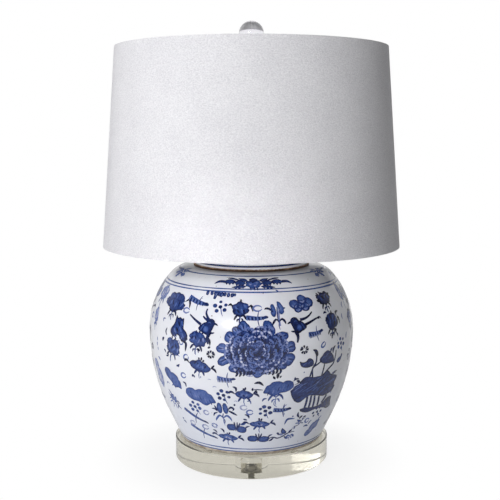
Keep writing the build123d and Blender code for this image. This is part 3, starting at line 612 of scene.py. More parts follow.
def flower_head(p, wide=28, tall=20, ink=0.66, lobes=6, top=3, leaves=3, lean=0):
    """A solid ragged blossom seen from the side, with stamens above, leaves beside it and curls below."""
    dark = min(1.0, ink + 0.27)
    w, h = wide / 2, tall / 2
    p.blob((0, 0), (w, h), lobes, 0.2, turn=p.random.uniform(-12, 12), ink=(ink + 0.08, ink - 0.04),
           line=ink + 0.16, ragged=0.07, line_width=1.5)
    for _ in range(3):
        a = p.random.uniform(0.1, 2.9)
        p.blob((w * 0.66 * math.cos(a), h * 0.66 * math.sin(a)), (w * 0.36, h * 0.42), 3, 0.12,
               ink=(ink + 0.1, ink - p.random.uniform(0.02, 0.16)), layer=1, ragged=0.08)
    folds(p, wide, tall, ink)
    stamens(p, wide, tall, dark, top, lean)
    if leaves > 2:
        leaf(p, (w * 0.86, h * 0.2), (w * 1.12, h * 0.5), (w * 1.3, h * 0.1), (w * 1.36, -h * 0.35), ink=dark)
    if leaves > 3:
        leaf(p, (-w * 0.86, h * 0.3), (-w * 1.12, h * 0.62), (-w * 1.38, h * 0.4), ink=dark)
    if leaves:
        curls(p, 0, -h - 1.6, min(18, wide * 0.6), dark - 0.04, leaves > 1)
    p.stroke([(0, -h), (-1.5, -h - 5.4), (-0.6, -h - 12)], (1.0, 1.0, 0.6), dark - 0.3, 0)


def cloud_leaf(p, ink=0.62):
    """A broad leaf of six round lobes, each lighter in its middle."""
    for x, y, r in ((2, 6.5, 8.0), (11.5, 0.5, 8.4), (-12.5, 1.5, 7.8), (-8.5, -5.5, 6.6), (4.5, -4.8, 7.4),
                    (-2.0, -0.5, 7.2)):
        p.blob((x, y), (r, r * 0.92), 3, 0.10, ink=(ink + 0.16, ink - 0.14), line=ink + 0.18, line_width=1.3)
        p.stroke([(x - r * 0.5, y - r * 0.2), (x, y - r * 0.5), (x + r * 0.5, y - r * 0.2)], (0.5, 2.2, 0.5),
                 ink - 0.30, 1)


def pad(p, ink=0.46, folds=5):
    """A long leaf, humped along its top edge, that comes to a point at its right end."""
    edge = [(-24, 8), (-18, 11), (-11, 11), (-7, 8.6), (-1, 11), (7, 11), (12, 9.6), (15, 6), (20, 4),
            (23, -2), (25, -8), (18, -9), (10, -14), (4, -13), (-3, -9), (-12, -8), (-20, -5), (-25.5, 1)]
    p.patch(edge, (ink + 0.12, ink - 0.03), 0, ink + 0.18, 1.4)
    for i in range(folds):
        x, y = -15 + 8 * i, 1 - 2.4 * i
        p.stroke([(x - 2, y + 5), (x, y), (x + 1, y - 4)], (0.4, 1.6, 0.4),
                 ink - 0.12 if i % 2 else ink + 0.18, 2)


def bar_leaf(p, length=34, ink=0.6, thick=5.0, deep=1.0):
    """A comb-like leaf: a bar with short teeth below, crossed by a thin stem."""
    p.stroke([(3, 10), (1.5, 4), (1.2, -5), (3, -13)], (0.5, 1.3, 0.5), ink + 0.1, 0)
    p.stroke([(-length / 2, 1.4), (0, -0.6), (length / 2, 0.6)], (thick, thick * 0.9, thick * 0.45), ink, 1)
    p.stroke([(length * 0.28, 0.3), (length * 0.4, 0.9), (length * 0.52, 0.2)], (0.8, thick * 0.62, 0.8),
             ink + 0.22, 2)
    for i in range(10):
        x = length * (0.08 * i - 0.47)
        p.stroke([(x, thick * 0.3), (x + 0.9, -thick * 0.62 * deep)], (1.3, 1.5, 0.8),
                 ink + (0.24 if i % 2 else -0.2), 2)


def dot_flower(p, petals=5, blot=2.9, ink=0.84):
    """A ring of round dots about a middle one, with a short tail."""
    reach = 8.4
    p.dot((0, 0), blot, ink)
    for i in range(petals):
        a = math.radians(100 + 360 * i / petals + p.random.uniform(-10, 10))
        p.dot((reach * math.cos(a), reach * math.sin(a) * 0.88), blot * p.random.uniform(0.82, 1.18),
              ink - p.random.uniform(0, 0.15))
    p.stroke([(0.8, -1), (2.6, -reach), (5.0, -reach - 5)], (0.8, 1.1, 0.4), ink - 0.24)


def asterisk(p, reach=7.2, ink=0.95):
    """Eight wedge strokes that point outwards round a bare middle."""
    for i in range(8):
        a = math.radians(i * 45 + p.random.uniform(-7, 7))
        c, s = math.cos(a), math.sin(a) * 0.9
        p.stroke([(2.3 * c, 2.3 * s), (reach * c, reach * s)], (0.9, 2.4, 2.5), ink)


def small_ring(p, wide=9.5, tall=7.5, ink=0.42, scallops=0):
    """An open ring, pale or scalloped."""
    a = np.radians(np.linspace(15, 352, 26))
    out = 1 + (0.10 * np.abs(np.sin(scallops * a / 2)) if scallops else 0)
    p.stroke(np.stack([wide / 2 * np.cos(a) * out, tall / 2 * np.sin(a) * out], axis=-1), (0.8, 2.0, 0.7),
             ink)


def pair_leaf(p, wide=28, tall=9.0, ink=0.60):
    """Two round-ended leaves that meet at a stem, like a moth."""
    for hand in (-1, 1):
        p.blob((hand * wide * 0.26, hand * -0.8), (wide * 0.26, tall / 2), 4, 0.08,
               ink=(ink + 0.14, ink - 0.04), turn=hand * 7, line=ink + 0.24)
        leaf(p, (hand * 1.5, 1), (hand * 3.4, tall * 0.5), (hand * 4.4, tall * 0.9), thick=2.0,
             ink=ink + 0.24)
    p.stroke([(-1, -5), (0.5, 2), (0.2, tall * 0.9)], (0.7, 1.7, 1.0), ink + 0.22)
    leaf(p, (wide * 0.42, 2), (wide * 0.52, 6), (wide * 0.64, 7.5), thick=2.2, ink=ink + 0.2)


def boat_leaf(p, wide=32, tall=12, ink=0.60, top=2):
    """A low blossom drawn like a boat, flat below and pointed at both ends."""
    dark = min(1.0, ink + 0.28)
    w, h = wide / 2, tall / 2
    p.patch([(-w, h * 0.1), (-w * 0.72, h * 0.62), (-w * 0.4, h * 0.72), (-w * 0.1, h * 1.1),
             (w * 0.2, h * 0.8), (w * 0.5, h * 0.72), (w * 0.78, h * 0.3), (w, -h * 0.1),
             (w * 0.72, -h * 0.75), (w * 0.2, -h * 0.95), (-w * 0.3, -h * 0.85), (-w * 0.75, -h * 0.55)],
            (ink + 0.12, ink - 0.08), 0, ink + 0.16, 1.4)
    folds(p, wide * 0.8, tall, ink, 5)
    stamens(p, wide * 0.5, tall * 1.2, dark, top, -8)
    leaf(p, (-w, 0), (-w - 4.5, 3.4), (-w - 8, 2.6), (-w - 8.6, 0), ink=dark)
    leaf(p, (w, 0), (w + 3, 4), (w + 5, 6.5), thick=2.4, ink=dark)
    leaf(p, (w + 1, 0.5), (w + 5.5, 0), (w + 9, -4.5), ink=dark)
    curls(p, 0, -h - 1.6, 15, dark - 0.14, False)


def tulip(p, ink=0.62):
    """A narrow petal and a broad one over a stalk with leaves."""
    p.stroke([(0.2, 8), (0.6, -4), (0.4, -14), (2, -23)], (1.3, 2.6, 1.6), ink - 0.3, 0)
    p.stroke([(-1.2, 4), (-1.4, -6), (-1, -18)], (0.5, 1.1, 0.5), ink + 0.2, 0)
    p.patch([(-9, 8), (-6.5, 8.6), (-4, 2.5), (-3, -4), (-5, -9.5), (-8, -9), (-10.5, -4), (-9, 0), (-10, 5)],
            (ink + 0.12, ink - 0.14), 0, ink + 0.14, 1.2)
    p.patch([(0, 12.5), (3.5, 11), (7, 6), (8.8, 3), (11.5, 2.6), (8.5, 0.5), (8.8, -3.5), (5.5, -6.5),
             (2.5, -5), (2.6, 1), (0.6, 6)],
            (ink + 0.10, ink - 0.18), 0, ink + 0.14, 1.2)
    leaf(p, (-7, -3), (-12, 1.8), (-17, 2.6), (-19, 1.0), thick=2.6, ink=ink + 0.3)
    curls(p, 0.5, -17, 18, ink + 0.3, False)


def iris(p, ink=0.60):
    """Two upright petals with leaves at both sides and a crooked stem."""
    for hand, lean in ((-1, 3), (1, 5)):
        p.blob((hand * 4.4, 2), (3.6, 9.0), 0, turn=lean, ink=(ink + 0.10, ink - 0.12), line=ink + 0.12,
               line_width=1.2)
    for points in (((-8, -2), (-10, 2), (-12, 6)), ((-8, -4), (-12, 0), (-16.5, 0)),
                   ((-8, -6), (-13, -8), (-15, -13))):
        leaf(p, *points, thick=2.1, ink=ink + 0.22)
    for points in (((8, 0), (13, 4.5), (17, 2), (15, -1)), ((8, -1), (15, -5), (21, -9))):
        leaf(p, *points, thick=2.8, ink=ink + 0.26)
    p.stroke([(0.5, -7), (-1, -14), (1.5, -20), (0, -27)], (1.0, 1.4, 0.7), ink + 0.05)
    curls(p, 0, -15, 22, ink - 0.1, False)


def bell(p, ink=0.74):
    """A solid trefoil leaf: two lobes below, a forked one above."""
    p.patch([(-5.5, 13), (-2.5, 10), (0.5, 11.5), (4, 9.5), (6, 11), (6.8, 5), (7.5, -1), (11, -3.5),
             (14, -8), (13, -13), (9, -15.5), (4.5, -13), (2, -9.5), (-2, -8), (-4, -10.5), (-8.5, -11),
             (-13, -7.5), (-12.5, -3), (-9.5, 0.5), (-7, 4)], (ink + 0.12, ink - 0.12), 0, ink + 0.2, 1.1)
    for x, y, light in ((-6, -4, -0.3), (0, 4, 0.2), (3, -2, -0.34), (7, -8, -0.25), (-2, -3, 0.22),
                        (4.5, 5, -0.2)):
        p.stroke([(x - 1.2, y + 2.5), (x, y), (x + 2, y - 2.6)], (0.5, 2.0, 0.5), ink + light, 2)
    for x in (-6.5, 1.5):
        p.stroke([(x, -14), (x + 2, -18.5), (x + 5.5, -18), (x + 7, -14.5)], (0.6, 1.2, 0.5), ink - 0.32)


def bird(p, ink=0.93, tails=RIGHT_TAILS, knob=True):
    """A small bird in flight that looks left: a round head, a wedge of a body and long tail strokes."""
    p.patch([(-14, 6), (-12.6, 10.6), (-8, 13), (-3.4, 11.8), (-0.5, 8), (5, 5.5), (12, -1.5), (8.6, -5.6),
             (4, -7.6), (-2, -10.5), (-6.5, -9), (-10, -3), (-12, 2)], (ink, ink - 0.08), 0, ink + 0.04, 1.0)
    p.patch([(-4, 1), (1, 2.5), (4, -1.5), (2.5, -6), (-2.5, -6.5), (-4.5, -3)], (ink - 0.16, ink - 0.46), 2)
    p.stroke([(3, 4), (6, 0), (8, -4.5)], (0.6, 1.6, 0.5), ink - 0.32, 2)
    p.stroke([(-8, 6), (-5, 8), (-3, 6)], (0.4, 1.2, 0.4), ink - 0.3, 2)
    leaf(p, (-12.5, 7), (-15, 5.8), (-18.5, 4.0), thick=2.2, ink=ink)
    for tail in tails:
        p.stroke(tail, (3.4, 2.5, 1.7), ink)
    if knob:
        tip = tails[-1][-1]
        p.dot(tip, 2.4, ink)
        p.stroke([tip, (tip[0] + 2.6, tip[1] + 1), (tip[0] + 4.6, tip[1] - 2)], (1.2, 1.2, 0.8), ink)
    p.stroke([(-6.5, -7), (-3.4, -15), (-4.8, -23.5)], (4.6, 3.6, 2.0), ink)
    leaf(p, (-7.5, -6), (-10, -7.4), (-14, -6.4), thick=2.2, ink=ink)


def dashes(p, ink=0.76):
    """A row of short thick drips hanging from the line above."""
    for x, drop, lean in ((-19.5, 6.2, -0.8), (-13.5, 5.4, 1.2), (-8, 5.0, 0.8), (-5.4, 10.5, -1.8),
                          (-1.4, 5.6, -0.6), (3, 6.6, -1.2), (7.6, 5.2, -1), (12.4, 6.0, 0.4),
                          (17.6, 5.6, 0.8), (21, 4.0, 0.4)):
        p.stroke([(x, 2.4), (x + lean, 2.2 - drop * 1.1)], (2.8, 3.9, 2.6), ink, 1)
        p.stroke([(x + 0.4, 0.2), (x + lean * 0.6, 0.8 - drop * 0.6)], (0.4, 1.1, 0.4), ink - 0.36, 2)


def sprig(p, ink=0.58):
    """A small two-toned bud on a zigzag stem with leaves."""
    p.stroke([(-20, -8), (-11, -3.5), (-4, -6), (3, -3.5), (10, 1), (19, 2)], (0.8, 1.6, 0.8), ink + 0.24)
    p.patch([(0, 10.5), (2.4, 8), (7, 2.6), (4.6, 0.5), (1.5, 1.4), (-0.6, 5)], (ink + 0.16, ink), 1,
            ink + 0.28, 0.9)
    p.blob((0.6, 0.2), (2.8, 2.2), 0, ink=(0.30, 0.22), layer=1)
    for points in (((-2, -1), (-5, 2.6), (-6, 3.6)), ((10, 1), (12.5, 4.4), (15, 5)),
                   ((5, -4), (8, -7.5), (10, -8)), ((-9, -4), (-12, -8), (-15, -9.5))):
        leaf(p, *points, thick=2.4, ink=ink + 0.24)


def notched_leaf(p, x, y, length, wide, turn, hand, ink):
    """A slender leaf whose lower edge breaks into teeth; it points away from the middle."""
    c, s = math.cos(math.radians(turn)), math.sin(math.radians(turn))

    def at(a, b):
        return x + hand * (a * c - b * s), y + a * s + b * c

    far, w = length, wide
    edge = [at(0, 0), at(far * 0.18, w * 0.42), at(far * 0.45, w * 0.62), at(far * 0.75, w * 0.36),
            at(far, 0), at(far * 0.82, -w * 0.18), at(far * 0.74, -w * 0.62), at(far * 0.60, -w * 0.24),
            at(far * 0.50, -w * 0.74), at(far * 0.36, -w * 0.26), at(far * 0.24, -w * 0.62),
            at(far * 0.12, -w * 0.2)]
    p.patch(edge, (ink + 0.08, ink - 0.05), 1, ink + 0.16, 0.7)


def shoulder_spray(p, ink=0.74, wings=(1, 1)):
    """A blossom on the shoulder with notched leaves to both sides."""
    for hand, k in zip((-1, 1), wings):
        if not k:
            continue
        for x, y, length, wide, turn in ((8, 3, 15 * k, 5, 22), (11 * k, -1, 18 * k, 9, 4),
                                         (25 * k, 2, 20 * k, 8, -4), (10, -6, 22 * k, 4.4, -6)):
            notched_leaf(p, hand * x, y, length, wide, turn, hand, ink)
        p.stroke([(hand * 42 * k, 1.5), (hand * 50 * k, 1.2), (hand * 58 * k, -3.2)], (3.8, 3.0, 0.6),
                 ink + 0.02)
        p.stroke([(hand * 20 * k, 4.5), (hand * 30 * k, 8.4), (hand * 37 * k, 8.8)], (1.6, 2.8, 1.4),
                 ink + 0.12)
    p.blob((0, -1.5), (12, 8.2), 7, 0.18, ink=(ink, ink - 0.16), layer=2, line=ink + 0.16)
    p.blob((-0.5, 5.5), (6.5, 4.4), 5, 0.2, ink=(ink + 0.12, ink + 0.02), layer=2)
    for x, y, light in ((-5, -2, -0.4), (2, -4, -0.44), (5, 1, -0.3), (-1, 2, 0.2)):
        p.stroke([(x - 1.5, y + 1), (x, y - 1), (x + 2, y + 0.6)], (0.5, 2.0, 0.5), ink + light, 3)
    for x in (-4.5, 1, 5):
        p.stroke([(x, -7), (x + 0.8, -12.5)], (1.9, 1.7, 0.7), ink + 0.05)


def half_leaf(p, ink=0.42):
    """A faint side spray: notched leaves off a bent stem."""
    p.stroke([(-8, 10), (-2, 4), (3, -3), (10, -12)], (0.8, 2.0, 0.8), ink + 0.08)
    for x, y, length, turn, hand in ((-3, 6, 15, 24, -1), (0, 2, 16, -8, -1), (3, -2, 14, -40, -1),
                                     (0, 5, 13, 30, 1), (4, 0, 13, 0, 1), (6, -6, 12, -35, 1)):
        notched_leaf(p, x, y, length, 6.0, turn, hand, ink)


# The leaves round the peony: (x, y, half length, half width, turn, lobes).
PEONY_LEAVES = (
    (-19, 33, 10.5, 9, 100, 4), (-29, 28, 7.5, 7, 130, 3), (-38, 19, 9.5, 8.5, 140, 3),
    (-50, 3, 9, 7.5, 175, 3), (-47, -14, 11, 7.5, 215, 2), (17, 33, 11.5, 7.5, 125, 2),
    (36, 20, 9.5, 7, 20, 2), (46, 4, 11, 9, 10, 4), (45, -13, 10.5, 10, -10, 3), (34, -20, 10, 8, -30, 3),
    (-32, -24, 9, 8, 220, 3),
)
# Its rings of petals: (reach as a share of its width, petals, size of each).
PEONY_RINGS = ((0.375, 17, 8.6), (0.285, 14, 8.4), (0.200, 10, 8.0), (0.120, 7, 7.4), (0.055, 4, 6.2),
               (0.0, 1, 4.8))


def petal(p, x, y, outwards, size, ink, layer):
    """One petal of the peony: a dark root, a wash and a rim of round dabs, most of them pale."""
    c, s = math.cos(outwards), math.sin(outwards)

    def at(a, b):
        return x + a * c - b * s, y + a * s + b * c

    p.blob((x, y), (size * 0.92, size), 3, 0.10, turn=math.degrees(outwards), ink=(ink + 0.06, ink + 0.14),
           layer=layer)
    p.stroke([at(-size * 0.2, -size * 0.8), at(-size * 0.5, 0), at(-size * 0.2, size * 0.8)],
             (1.0, size * 0.42, 1.0), 0.93, layer + 1)
    p.stroke([at(-size * 0.1, -size * 0.3), at(size * 0.35, p.random.uniform(-1, 1))],
             (0.6, size * 0.22, 0.6), ink + p.random.choice((-0.24, 0.26)), layer + 1)
    dabs = p.random.choice((3, 3, 4))
    pale = p.random.choice(((0.0, 0.04, 0.14), (0.04, 0.2, 0.3), (0.36, 0.44, 0.5)))
    for k in range(dabs):
        a = (k - (dabs - 1) / 2) * 0.62 + p.random.uniform(-0.14, 0.14)
        wide = p.random.uniform(0.20, 0.30) * size
        p.blob(at(size * 0.84 * math.cos(a), size * 0.92 * math.sin(a)), (wide * 1.45, wide * 0.85), 2, 0.2,
               turn=math.degrees(outwards + a) + 90, ink=(0.40, p.random.choice(pale)), layer=layer + 1,
               ragged=0.14)
        p.stroke([at(size * 0.3 * math.cos(a), size * 0.4 * math.sin(a)),
                  at(size * 0.62 * math.cos(a), size * 0.7 * math.sin(a))],
                 (0.4, wide * 0.5, 0.4), 0.30, layer + 1)


def peony(p, wide=104.0, tall=74.0):
    """The big peony: lobed leaves, a dark ground, and rings of petals like scales, each with a beaded rim."""
    for x, y, length, height, turn, lobes in PEONY_LEAVES:
        ink = p.random.uniform(0.58, 0.72)
        a = math.radians(turn)
        p.blob((x, y), (length, height), lobes, 0.2, turn=turn, ink=(ink + 0.06, ink - 0.12), line=ink + 0.14,
               layer=0, line_width=1.5)
        for k in (-0.5, 0.0, 0.5):
            p.stroke([(x - 0.5 * length * math.cos(a), y - 0.5 * length * math.sin(a)),
                      (x + 0.7 * length * math.cos(a + k), y + 0.7 * height * math.sin(a + k))],
                     (0.7, 1.5, 0.4), ink - 0.26 if k else ink + 0.2, 1)
    p.blob((0, -1), (wide * 0.40, tall * 0.46), 15, 0.10, ink=(0.90, 0.84), layer=1)
    for step, (reach, count, size) in enumerate(PEONY_RINGS):
        for i in range(count):
            a = 2 * math.pi * (i + 0.5 * (step % 2) + p.random.uniform(-0.14, 0.14)) / count
            x = wide * reach * math.cos(a) + p.random.uniform(-1, 1)
            y = tall * (reach + 0.02) * math.sin(a) + p.random.uniform(-1, 1) - 1
            petal(p, x, y, a + p.random.uniform(-0.3, 0.3), size * p.random.uniform(0.82, 1.12),
                  p.random.uniform(0.58, 0.76), 2 + 2 * step)
    for i in range(13):
        x = -30 + i * 5.2
        y = -tall * 0.40 - 2.5 * math.cos(i * 0.5) + (3 if i > 10 else 0)
        p.stroke([(x, y + 3.5), (x + 1.8, y - 1), (x - 0.6, y - 5.5)], (1.3, 2.8, 1.2), 0.95, 4)
    p.patch([(-6, -30), (2, -28), (8, -31), (5, -37), (-1, -39), (-5, -36)], (0.66, 0.52), 3, 0.80, 1.0)


def lotus(p):
    """A wide lotus pad with streaked veins, a striped underside, buds and leaves on stems above."""
    for points in ([(-12, 16), (-9, 26), (-6, 33), (1, 36), (7, 39)],
                   [(-6, 16), (-8, 29), (-6, 34), (-2, 40), (-2, 50), (-6, 58)],
                   [(11, 14), (14, 26), (16, 37)],
                   [(14, 17), (27, 26), (36, 32), (40, 42), (41, 51)]):
        p.stroke(points, (2.0, 2.3, 1.5), 0.90, 0)
    p.patch([(-41, 0), (-36, 5), (-29, 9), (-26, 14), (-20, 19), (-13, 19), (-4, 17), (3, 17), (13, 17),
             (20, 21), (26, 22), (34, 15), (50, 10), (50, 5), (46, -1), (47, -10), (41, -15), (31, -17),
             (22, -18), (11, -15), (0, -13), (-10, -12), (-17, -17), (-24, -21), (-32, -17), (-38, -8)],
            (0.80, 0.72), 1, 0.92, 1.2)
    for _ in range(60):
        x, y = p.random.uniform(-34, 42), p.random.uniform(-12, 14)
        y += x * 0.05
        reach = p.random.uniform(4, 9)
        slope = 0.45 + p.random.uniform(-0.12, 0.12)
        p.stroke([(x - reach, y - reach * slope), (x, y + 0.4), (x + reach, y + reach * slope)],
                 (0.3, 0.95, 0.3), p.random.choice((0.42, 0.52, 0.94, 0.96)), 2)
    p.patch([(-19, -33), (-10, -32), (-1, -34), (10, -34), (19, -33), (27, -29), (35, -24), (45, -24),
             (47, -34), (50, -42), (41, -44), (30, -40), (18, -38), (7, -39), (-3, -41), (-10, -40),
             (-17, -37)], (0.86, 0.78), 0, 0.90, 1.0)
    for x0, y0, x1, y1 in ((-10, -12, -11, -33), (-3, -13, -3, -34), (4, -14, 5, -34), (13, -16, 14, -33),
                           (31, -18, 22, -30)):
        p.stroke([(x0, y0), ((x0 + x1) / 2 + 0.6, (y0 + y1) / 2), (x1, y1)], (2.6, 3.2, 2.6), 0.84, 1)
    p.patch([(5, 44), (10, 48), (14, 52), (21, 54), (29, 49), (35, 42), (36, 35), (25, 34), (14, 35),
             (5, 40)], (0.86, 0.74), 1, 0.93, 1.0)
    p.patch([(-31, 44), (-26, 42), (-20, 43), (-16, 47), (-11, 46), (-7, 42), (-7, 36), (-14, 34), (-21, 34),
             (-28, 37)], (0.86, 0.76), 1, 0.93, 1.0)
    p.patch([(44, 33), (48, 37), (55, 39), (58, 43), (60, 40), (55, 33), (48, 30)], (0.70, 0.62), 1, 0.8, 0.8)
    for x, y in ((12, 44), (20, 47), (27, 42), (-22, 39), (-13, 41)):
        p.stroke([(x - 3, y - 2), (x, y + 1), (x + 4, y + 2)], (0.4, 1.1, 0.4), 0.55, 2)
    leaf(p, (-9, 59), (-4, 57), (-1, 51), (-2, 47), thick=4.4, ink=0.95)


MOTIFS = {
    "flower": flower_head, "cloud": cloud_leaf, "pad": pad, "bar": bar_leaf, "dots": dot_flower,
    "star": asterisk, "ring": small_ring, "pair": pair_leaf, "boat": boat_leaf, "tulip": tulip, "iris": iris,
    "bell": bell, "bird": bird, "dashes": dashes, "sprig": sprig, "spray": shoulder_spray, "fan": half_leaf,
    "peony": peony, "lotus": lotus, "curls": curls,
}


def spot(motif, azimuth, height, turn=0, **settings):
    """Where a motif is painted, and the settings it has there."""
    return motif, azimuth, height, turn, settings


# What is painted where on the front.
FRONT = {
    "peony": [spot("peony", 3.0, 175)],
    "lotus": [
        spot("lotus", 37, 112), spot("dots", 56.5, 171, ink=0.72, petals=6),
        spot("dots", 44.5, 67, 20, petals=6, blot=2.4),
    ],
    "birds": [
        spot("bird", 26, 208), spot("bird", -24.5, 206, ink=0.86, flip=-1, tails=LEFT_TAILS, knob=False),
        spot("flower", -6, 235, wide=26, tall=21, ink=0.72, leaves=4, top=1), spot("tulip", 14.6, 233),
        spot("cloud", 29.8, 239, 4), spot("bar", 3, 222, 2, length=31), spot("dots", -17.5, 237),
        spot("bar", -32, 242, -13, length=37, thick=6.2), spot("dashes", -19, 257, -3),
        spot("ring", 3.4, 236, wide=12, tall=8, ink=0.4),
        spot("ring", -38.5, 227, scallops=6, wide=10, tall=7, ink=0.34),
    ],
    "left_flowers": [
        spot("flower", -49.5, 236, wide=48, tall=29, ink=0.7, lobes=5, top=1),
        spot("bell", -42, 201, size=1.3), spot("flower", -29, 188, -10, wide=31, tall=21, ink=0.64, lobes=7),
        spot("flower", -46, 171, -20, wide=33, tall=25, ink=0.64, lobes=4, leaves=1),
        spot("boat", -28, 149, -8, wide=36, tall=17, ink=0.66, top=3),
        spot("pad", -49, 121, -24, size=0.84, ink=0.54, folds=3), spot("pad", -30, 101),
        spot("star", -21.3, 168, reach=6.6), spot("ring", -36.5, 159, 30, wide=9, tall=8),
        spot("ring", -39.5, 130, wide=9), spot("ring", -27.7, 74, ink=0.26, wide=8),
        spot("dots", -35, 81, 10, petals=6, ink=0.7),
        spot("bar", -36.8, 63, -24, length=44, thick=4.0, deep=0.4, ink=0.6),
        spot("bar", -34.5, 35, -21, length=47, thick=4.0, deep=0.4, ink=0.54),
        spot("bar", -13.4, 133, length=27, thick=4.2, deep=2.2, ink=0.52),
        spot("flower", -66, 245, wide=28, tall=22, ink=0.34, top=2, leaves=1),
        spot("flower", -66, 209, wide=15, tall=23, ink=0.32, top=2, leaves=1),
        spot("pad", -65, 120, -60, ink=0.22, size=0.9), spot("iris", -53, 84, -30, ink=0.46, size=0.7),
    ],
    "right_flowers": [
        spot("flower", 47.6, 243, wide=33, tall=19, ink=0.84, lobes=9, top=3, lean=40, leaves=2),
        spot("flower", 49, 207, -6, wide=29, tall=25, ink=0.78, lobes=4, top=1, leaves=3),
        spot("bar", 36, 195, 9, length=27, deep=1.6), spot("star", 28.4, 173),
        spot("ring", 41, 176, 40, ink=0.56, tall=6), spot("bar", 18, 82, 2, length=27, thick=5.4, deep=0.4),
        spot("pad", 14.8, 119, ink=0.54, size=0.9, flip=-1),
        spot("flower", 68.5, 245, wide=15, tall=30, ink=0.44, leaves=0),
        spot("flower", 72, 204, wide=26, tall=20, ink=0.5),
    ],
    "low_flowers": [
        spot("boat", -4, 110, wide=26, tall=13, ink=0.6), spot("dots", -15.3, 107, petals=6),
        spot("iris", -16.8, 83), spot("dots", 8, 82, petals=6), spot("ring", -0.9, 80, wide=9, ink=0.42),
        spot("boat", 5, 59, wide=30, tall=11, ink=0.54), spot("pair", -9.4, 50, -8, wide=29, tall=13),
        spot("boat", -16, 32, -4, wide=30, tall=11, ink=0.52), spot("pair", 4.7, 30, wide=32, tall=12),
        spot("sprig", 20, 36, size=1.15), spot("pad", 45.6, 37, 62, size=0.66, ink=0.38, folds=3),
        spot("sprig", 31, 54, 30, ink=0.48, size=0.7), spot("star", -23.8, 52, reach=5, ink=0.36),
        spot("ring", -31, 46, ink=0.24, scallops=7), spot("ring", -41, 49, ink=0.2),
        spot("curls", 13.5, 104, ink=0.66, wide=20), spot("curls", 27, 30, ink=0.5, wide=12),
        spot("ring", -4.3, 88, ink=0.22), spot("ring", 37.6, 55, ink=0.42, wide=7),
    ],
    "shoulder": [
        spot("spray", 1.4, 276), spot("fan", -65, 286, 20, ink=0.4),
        spot("fan", 61, 288, -15, ink=0.44, flip=-1), spot("spray", 90, 276, ink=0.5, wings=(0.6, 0.6)),
    ],
}

